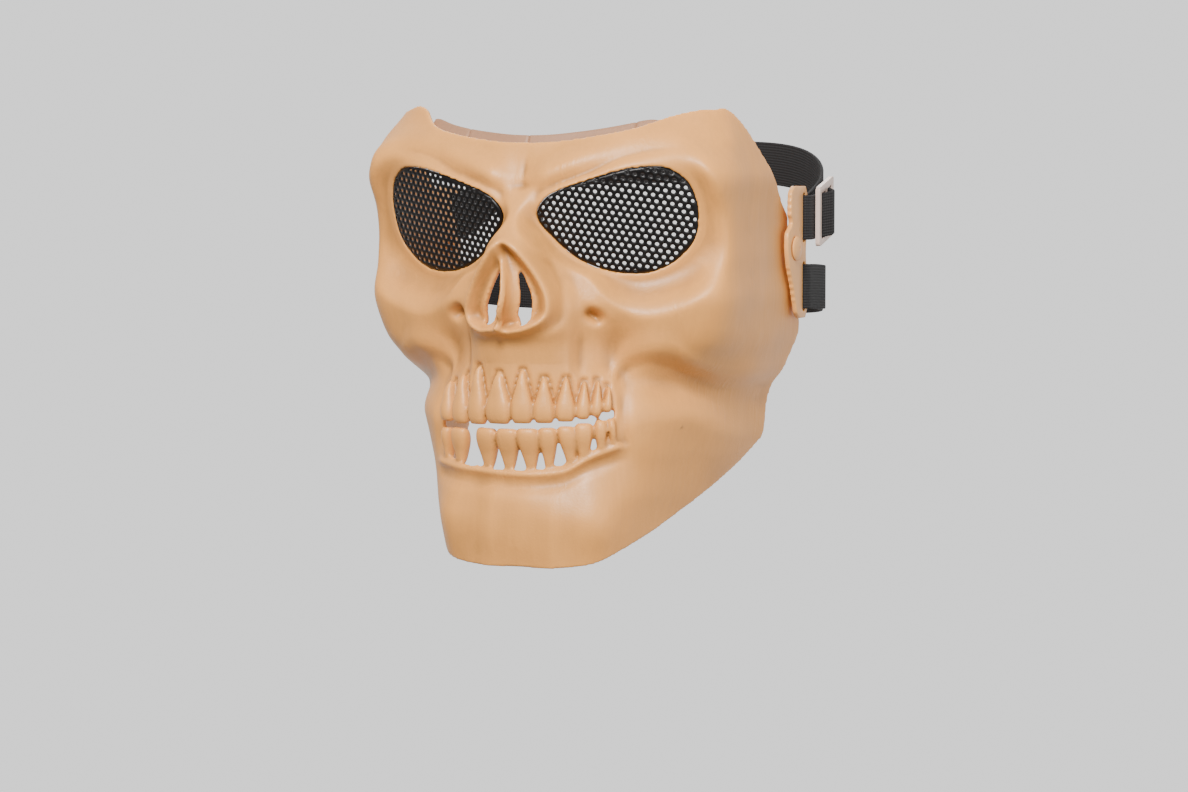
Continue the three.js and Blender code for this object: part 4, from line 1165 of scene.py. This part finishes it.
class MASK_OT_eyes(bpy.types.Operator):
    """Pressed and perforated eye plates, with a rounded fold and walls bent back"""

    bl_idname = "mask.eyes"
    bl_label = "Eye plates"

    def execute(self, context):
        sizes = context.scene.mask_sizes
        finish = painted_finish("black paint", context.scene.mask_colours.paint)
        for side, sign in (("left", 1), ("right", -1)):
            self.press(f"{side}_eye_pan", f"eye_mesh_{side}", sign, finish, sizes)
        return {"FINISHED"}

    def corner(self, mesh, spot, way, far):
        """A vertex of the flat pattern, at a distance from the middle of a hole"""
        return mesh.verts.new((spot[0] + far * way[0], spot[1] + far * way[1], 0))

    def press(self, name, node, sign, finish, sizes):
        """Builds the flat perforated sheet of one plate and presses it into its form"""
        pitch, hole = sizes.hole_pitch * 1000, sizes.hole * 500
        turn = math.radians(LATTICE_TURN)
        first = pitch * np.array([math.sin(turn), -math.cos(turn)])
        second = pitch * np.array([math.sin(turn + math.pi / 3), -math.cos(turn + math.pi / 3)])
        corner = [turn + math.pi / 6 * k for k in range(HOLE_CORNERS)]
        reach = [pitch / 2 / math.cos(math.pi / 6) if k % 2 else pitch / 2 for k in range(HOLE_CORNERS)]
        mesh = bmesh.new()
        count = int(2 * EYE_REACH / pitch) + 2
        for i in range(-count, count + 1):
            for j in range(-count, count + 1):
                spot = i * first + j * second
                gap = math.hypot(*spot) - eye_reach(np.array([sign * spot[0]]), np.array([spot[1]]))[0]
                if gap > PAN_WALL:
                    continue
                ring = [(math.sin(a), -math.cos(a)) for a in corner]
                outer = [self.corner(mesh, spot, way, far) for way, far in zip(ring, reach)]
                inner = [self.corner(mesh, spot, way, hole) for way in ring]
                for k in range(HOLE_CORNERS):
                    mesh.faces.new((outer[k], outer[k - 1], inner[k - 1], inner[k]))
                if gap > -PAN_BORDER:
                    centre = mesh.verts.new((*spot, 0))
                    for k in range(HOLE_CORNERS):
                        mesh.faces.new((inner[k], inner[k - 1], centre))
        bmesh.ops.remove_doubles(mesh, verts=mesh.verts, dist=0.02)
        flat = np.array([(v.co.x, v.co.y) for v in mesh.verts])
        dx, dz = sign * flat[:, 0], flat[:, 1]
        edge = eye_reach(dx, dz) - PAN_MARGIN - PAN_FOLD
        length = np.maximum(np.hypot(dx, dz), 1e-6)
        over = length - edge
        bend = np.clip(over / PAN_FOLD, 0, math.pi / 2)
        radius = np.where(over > 0, edge + PAN_FOLD * np.sin(bend), length)
        straight = np.maximum(over - PAN_FOLD * math.pi / 2, 0)
        back = np.where(over > 0, PAN_FOLD * (1 - np.cos(bend)) + straight, 0)
        x, z = EYE_SIDE + dx / length * radius, EYE_HEIGHT + dz / length * radius
        y = plate_depth(x, z) - PAN_PROUD + back
        for vertex, spot in zip(mesh.verts, to_frame(np.stack([sign * x, y, z], axis=1))):
            vertex.co = spot
        bmesh.ops.recalc_face_normals(mesh, faces=mesh.faces)
        mesh.faces.ensure_lookup_table()
        if sum(face.normal.y for face in mesh.faces) > 0:
            bmesh.ops.reverse_faces(mesh, faces=mesh.faces)
        piece = add_piece(name, mesh, finish, node, 40)
        wall = piece.modifiers.new("sheet", "SOLIDIFY")
        wall.thickness, wall.offset = sizes.sheet, -1
        settle(piece)


def slotted_outline():
    """Outline of a strap bracket, with a nose round its rivet and small ribs on its front edge"""
    rear = SLOT_DEPTH + SLOT_WIDTH / 2 + SLOT_BACK
    front = rear - BRACKET_DEPTH
    middle = RIVET_HEIGHT - STRAP_DROP
    half = BRACKET_HEIGHT / 2
    points = []
    for k in range(121):
        rise = k / 120
        cut = look_up(BRACKET_EDGE, "rise", np.array([rise]), "cut")[0]
        rib = RIB_DEPTH * math.sin(k * 1.05) * (0.72 < rise < 0.95 or 0.12 < rise < 0.4)
        points.append((front + BRACKET_DEPTH * cut + rib, middle + half * (2 * rise - 1)))
    for k in range(61):
        share = 1 - k / 30
        waist = math.exp(-((share / 0.3) ** 2))
        corner = BRACKET_CORNER * max(0, abs(share) - 0.86) / 0.14
        points.append((rear - BRACKET_WAIST_CUT * waist - corner, middle + half * share))
    return points


def cut_sheet(mesh, outline, holes, near, thickness):
    """A flat sheet in the Y-Z plane with its holes, extruded sideways"""
    edges = []
    for loop in (outline, *holes):
        places = to_frame([(near, y, z) for y, z in loop])
        verts = [mesh.verts.new(spot) for spot in places]
        edges += [mesh.edges.new((verts[k - 1], verts[k])) for k in range(len(verts))]
    bmesh.ops.triangle_fill(mesh, use_beauty=True, edges=edges)
    bmesh.ops.dissolve_limit(mesh, angle_limit=0.01, verts=mesh.verts, edges=mesh.edges)
    made = bmesh.ops.extrude_face_region(mesh, geom=mesh.faces[:])["geom"]
    top = [v for v in made if isinstance(v, bmesh.types.BMVert)]
    bmesh.ops.translate(mesh, verts=top, vec=(thickness / 1000, 0, 0))
    bmesh.ops.recalc_face_normals(mesh, faces=mesh.faces)


def rectangle(y0, y1, z0, z1, corner):
    """A rectangle with round corners"""
    points = []
    for y, z, start in ((y1, z1, 0), (y0, z1, 90), (y0, z0, 180), (y1, z0, 270)):
        cy = y - corner if y == y1 else y + corner
        cz = z - corner if z == z1 else z + corner
        for step in range(5):
            turn = math.radians(start + 22.5 * step)
            points.append((cy + corner * math.cos(turn), cz + corner * math.sin(turn)))
    return points


class MASK_OT_brackets(bpy.types.Operator):
    """Slotted strap brackets and the button rivets that hold them"""

    bl_idname = "mask.brackets"
    bl_label = "Brackets and rivets"

    def execute(self, context):
        finish = moulded_finish("bracket plastic", context.scene.mask_colours.bracket, 0.3, 0.5)
        for side, sign in (("left", 1), ("right", -1)):
            mesh = bmesh.new()
            slots = []
            for place in (-1, 1):
                z, half = strap_height(place), STRAP_WIDTH / 2 + STRAP_PLAY
                near, far = SLOT_DEPTH - SLOT_WIDTH / 2, SLOT_DEPTH + SLOT_WIDTH / 2
                slots.append(rectangle(near, far, z - half, z + half, SLOT_CORNER))
            bore = []
            for k in range(24):
                turn = 2 * math.pi * k / 24
                radius = RIVET_SHANK_RADIUS + CLEARANCE
                bore.append((RIVET_DEPTH + radius * math.cos(turn), RIVET_HEIGHT + radius * math.sin(turn)))
            near = BRACKET_SIDE if sign > 0 else -BRACKET_SIDE - BRACKET_THICKNESS
            cut_sheet(mesh, slotted_outline(), [*slots, bore], near, BRACKET_THICKNESS)
            name, node = f"{side}_bracket_plate", f"strap_bracket_{side}"
            piece = add_piece(name, mesh, finish, node)
            round_edges(piece, EDGE_ROUNDING)
            self.rivet(side, sign, finish)
        return {"FINISHED"}

    def rivet(self, side, sign, finish):
        """Turns the profile of a button rivet round its shank"""
        mesh = bmesh.new()
        outside = BRACKET_SIDE + BRACKET_THICKNESS + CLEARANCE
        inside = HALF_WIDTH * RIVET_SIDE - SHELL_WALL - 2 * CLEARANCE
        head, height = RIVET_HEAD_RADIUS, RIVET_HEAD_HEIGHT
        disc = RIVET_DISC_SHARE * head
        profile = [(0, inside - RIVET_DISC_HEIGHT), (disc - 0.5, inside - RIVET_DISC_HEIGHT),
                   (disc, inside - RIVET_DISC_HEIGHT + 0.4), (disc, inside), (RIVET_SHANK_RADIUS, inside),
                   (RIVET_SHANK_RADIUS, outside), (head - 0.2, outside), (head, outside + RIVET_RIM)]
        for k in range(1, 8):
            turn = math.pi / 2 * k / 8
            profile.append((head * math.cos(turn), outside + RIVET_RIM + (height - 0.9) * math.sin(turn)))
        profile += [(head * 0.18, outside + height - 0.75), (0, outside + height - 0.85)]
        spots = to_frame([(sign * out, RIVET_DEPTH + radius, RIVET_HEIGHT) for radius, out in profile])
        verts = [mesh.verts.new(spot) for spot in spots]
        edges = [mesh.edges.new(pair) for pair in zip(verts, verts[1:])]
        centre = to_frame([(0, RIVET_DEPTH, RIVET_HEIGHT)])[0]
        bmesh.ops.spin(mesh, geom=verts + edges, cent=centre, axis=(1, 0, 0), angle=2 * math.pi,
                       steps=40, use_merge=True)
        bmesh.ops.remove_doubles(mesh, verts=mesh.verts, dist=1e-6)
        bmesh.ops.recalc_face_normals(mesh, faces=mesh.faces)
        add_piece(f"{side}_button_rivet", mesh, finish, f"bracket_rivet_{side}")


def strap_height(place):
    """Height of the upper strap, place 1, or the lower one, place -1"""
    return RIVET_HEIGHT - STRAP_DROP + place * STRAP_SPACING / 2


def strap_rise(y, rise):
    """How far a strap has risen at a depth on its way round the head"""
    return rise * ramp(y, SLOT_DEPTH + SLOT_WIDTH / 2 + SLOT_BACK, STRAP_STRAIGHT_END + STRAP_ROUND)


def tail_route(with_slide):
    """Plan of a tail: outside the bracket, through its slot and back inside"""
    outer, inner = OUTER_RUN, BRACKET_SIDE - CLEARANCE - STRAP_SEAT * STRAP_THICKNESS
    bend = SLOT_BACK / 2 + SLOT_WIDTH / 2
    middle, reach = (outer + inner) / 2, (outer - inner) / 2
    if with_slide:
        over = outer + SLIDE_THICKNESS + STRAP_THICKNESS + SLIDE_LIFT
        front, rear = SLIDE_START + SLIDE_BORDER, SLIDE_START + SLIDE_LENGTH - SLIDE_BORDER
        bar = (front + rear) / 2
        half = SLIDE_BAR / 2 + SLIDE_SLACK / 3
        route = [(outer, SLOT_DEPTH + SLIDE_TAIL_LENGTH), (outer, rear - SLIDE_SLACK), (over, bar + half),
                 (over, bar - half), (outer, front + SLIDE_SLACK)]
    else:
        route = [(outer, SLOT_DEPTH + TAIL_LENGTH)]
    route.append((outer, SLOT_DEPTH + bend))
    for k in range(1, 6):
        turn = k / 6 * math.pi
        route.append((middle + reach * math.cos(turn), SLOT_DEPTH + bend - bend * math.sin(turn)))
    route.append((inner, SLOT_DEPTH + bend))
    return route, inner


def strap_route(slide_on_left):
    """Plan of a strap from its left tail round the head to its right tail"""
    left, inner = tail_route(slide_on_left)
    right, _ = tail_route(False)
    turns = [k / 40 * math.pi for k in range(41)]
    behind = [(inner * math.cos(t), STRAP_STRAIGHT_END + STRAP_ROUND * math.sin(t)) for t in turns]
    return np.array([*left, *behind, *[(-x, y) for x, y in reversed(right)]])


class MASK_OT_webbing(bpy.types.Operator):
    """Two elastic straps, each looped through both brackets and round the back of the head"""

    bl_idname = "mask.webbing"
    bl_label = "Elastic straps"

    def execute(self, context):
        finish = woven_finish("black webbing", context.scene.mask_colours.webbing)
        self.band("upper_webbing", "upper_strap", 1, UPPER_RISE, True, finish)
        self.band("lower_webbing", "lower_strap", -1, LOWER_RISE, False, finish)
        return {"FINISHED"}

    def band(self, name, node, place, rise, with_slide, finish):
        """Leads the section of the webbing along the whole route of one strap"""
        route = strap_route(with_slide)
        run = np.concatenate([[0], np.cumsum(np.hypot(*np.diff(route, axis=0).T))])
        half, thick = STRAP_WIDTH / 2, STRAP_THICKNESS / 2
        section = rectangle(-thick, thick, -half, half, thick * 0.7)
        section.append(section[0])
        section = np.array(section)

        def bend(u, v):
            along = u * run[-1]
            spot = np.stack([np.interp(along, run, route[:, k]) for k in range(2)], axis=1)
            ahead = np.stack([np.interp(along + 0.4, run, route[:, k]) for k in range(2)], axis=1)
            behind = np.stack([np.interp(along - 0.4, run, route[:, k]) for k in range(2)], axis=1)
            way = ahead - behind
            way /= np.linalg.norm(way, axis=1, keepdims=True)
            k = np.rint(v * (len(section) - 1)).astype(int)
            out, up = section[k, 0], section[k, 1]
            x, y = spot[:, 0] - way[:, 1] * out, spot[:, 1] + way[:, 0] * out
            return np.stack([x, y, strap_height(place) + up + strap_rise(spot[:, 1], rise)], axis=1)

        def weave(u, v):
            return u * run[-1] / 1000, section[round(v * (len(section) - 1)), 1] / 1000

        mesh = bmesh.new()
        made = mapped_grid(mesh, STRAP_COLUMNS, len(section) - 1, bend, True, weave)
        close_holes(mesh, made)
        bmesh.ops.recalc_face_normals(mesh, faces=mesh.faces)
        add_piece(name, mesh, finish, node, 50)


class MASK_OT_slide(bpy.types.Operator):
    """Three-bar slide on the tail of the upper strap"""

    bl_idname = "mask.slide"
    bl_label = "Strap slide"

    def execute(self, context):
        finish = moulded_finish("slide plastic", context.scene.mask_colours.slide, 0.3, 0.5)
        mesh = bmesh.new()
        z, half = strap_height(1), (STRAP_WIDTH + STRAP_PLAY) / 2
        front, rear = SLIDE_START + SLIDE_BORDER, SLIDE_START + SLIDE_LENGTH - SLIDE_BORDER
        bar = (front + rear) / 2
        low, high = z - half - SLIDE_BORDER, z + half + SLIDE_BORDER
        outline = rectangle(SLIDE_START, SLIDE_START + SLIDE_LENGTH, low, high, SLIDE_CORNER)
        holes = [rectangle(front, bar - SLIDE_BAR / 2, z - half, z + half, SLIDE_HOLE_CORNER),
                 rectangle(bar + SLIDE_BAR / 2, rear, z - half, z + half, SLIDE_HOLE_CORNER)]
        cut_sheet(mesh, outline, holes, OUTER_RUN + STRAP_THICKNESS / 2 + CLEARANCE, SLIDE_THICKNESS)
        for vertex in mesh.verts:
            vertex.co.z += strap_rise(np.array(vertex.co.y * 1000 - SEAT_SHIFT[1]), UPPER_RISE) / 1000
        piece = add_piece("webbing_slide", mesh, finish, "strap_slide")
        round_edges(piece, EDGE_ROUNDING)
        return {"FINISHED"}


class MASK_OT_stage(bpy.types.Operator):
    """Pale studio light and the camera"""

    bl_idname = "mask.stage"
    bl_label = "Stage"

    def execute(self, context):
        world = bpy.data.worlds.new("pale room")
        context.scene.world = world
        room = NodeTree(world)
        way = room.node("ShaderNodeTexCoord", output="Generated")
        behind = room.node("ShaderNodeSeparateXYZ", None, {0: way}, "Y")
        reach = {"Value": behind, "From Min": -0.1, "From Max": 0.5}
        reach.update({"To Min": ROOM_AHEAD, "To Max": ROOM_BEHIND})
        sky = room.tree.nodes["Background"]
        room.feed(sky.inputs["Color"], (1, 1, 1, 1))
        room.feed(sky.inputs["Strength"], room.node("ShaderNodeMapRange", None, reach))
        for name, spot, size, watts in LAMPS:
            lamp = bpy.data.lights.new(name, "AREA")
            lamp.shape, lamp.size, lamp.energy = "DISK", size, watts
            stand = bpy.data.objects.new(name, lamp)
            context.scene.collection.objects.link(stand)
            stand.location = spot
            way = Vector(LAMP_TARGET) - Vector(spot)
            stand.rotation_euler = way.to_track_quat("-Z", "Y").to_euler()
        turn, lift = math.radians(VIEW_TURN), math.radians(VIEW_LIFT)
        right = Vector((math.cos(turn), math.sin(turn), 0))
        up = Vector((-math.sin(turn) * math.sin(lift), math.cos(turn) * math.sin(lift), math.cos(lift)))
        back = right.cross(up)
        centre = right * (FRAME_WIDTH / 2 - EYES_ACROSS) - up * (FRAME_HEIGHT / 2 - EYES_DOWN)
        centre *= VIEW_SCALE
        target = Vector(to_frame(np.array(centre)))
        lens = bpy.data.cameras.new("camera")
        lens.sensor_width = SENSOR_WIDTH
        lens.lens = SENSOR_WIDTH * VIEW_DISTANCE / VIEW_SCALE / FRAME_WIDTH
        camera = bpy.data.objects.new("camera", lens)
        context.scene.collection.objects.link(camera)
        camera.matrix_world = Matrix((right, up, back)).transposed().to_4x4()
        camera.location = target + back * VIEW_DISTANCE / 1000
        context.scene.camera = camera
        return {"FINISHED"}


OPERATORS = (MASK_OT_face, MASK_OT_strip, MASK_OT_eyes, MASK_OT_brackets, MASK_OT_webbing, MASK_OT_slide,
             MASK_OT_stage)


class MASK_PT_panel(bpy.types.Panel):
    """Sizes, colours and pieces of the mask"""

    bl_idname = "MASK_PT_panel"
    bl_label = "Skull mask"
    bl_space_type = "VIEW_3D"
    bl_region_type = "UI"
    bl_category = "Mask"

    def draw(self, context):
        for group in (context.scene.mask_sizes, context.scene.mask_colours):
            for key in group.__annotations__:
                self.layout.prop(group, key)
        for operator in OPERATORS:
            self.layout.operator(operator.bl_idname)


CLASSES = (MaskSizes, MaskColours, *OPERATORS, MASK_PT_panel)


def register():
    """Adds the sizes, colours, operators and panel"""
    for entry in CLASSES:
        bpy.utils.register_class(entry)
    bpy.types.Scene.mask_sizes = bpy.props.PointerProperty(type=MaskSizes)
    bpy.types.Scene.mask_colours = bpy.props.PointerProperty(type=MaskColours)


def unregister():
    """Takes everything out again"""
    del bpy.types.Scene.mask_sizes
    del bpy.types.Scene.mask_colours
    for entry in reversed(CLASSES):
        bpy.utils.unregister_class(entry)


def main():
    """Builds all the pieces and the stage"""
    register()
    bpy.ops.mask.face()
    bpy.ops.mask.strip()
    bpy.ops.mask.eyes()
    bpy.ops.mask.brackets()
    bpy.ops.mask.webbing()
    bpy.ops.mask.slide()
    bpy.ops.mask.stage()


if __name__ == "__main__":
    main()
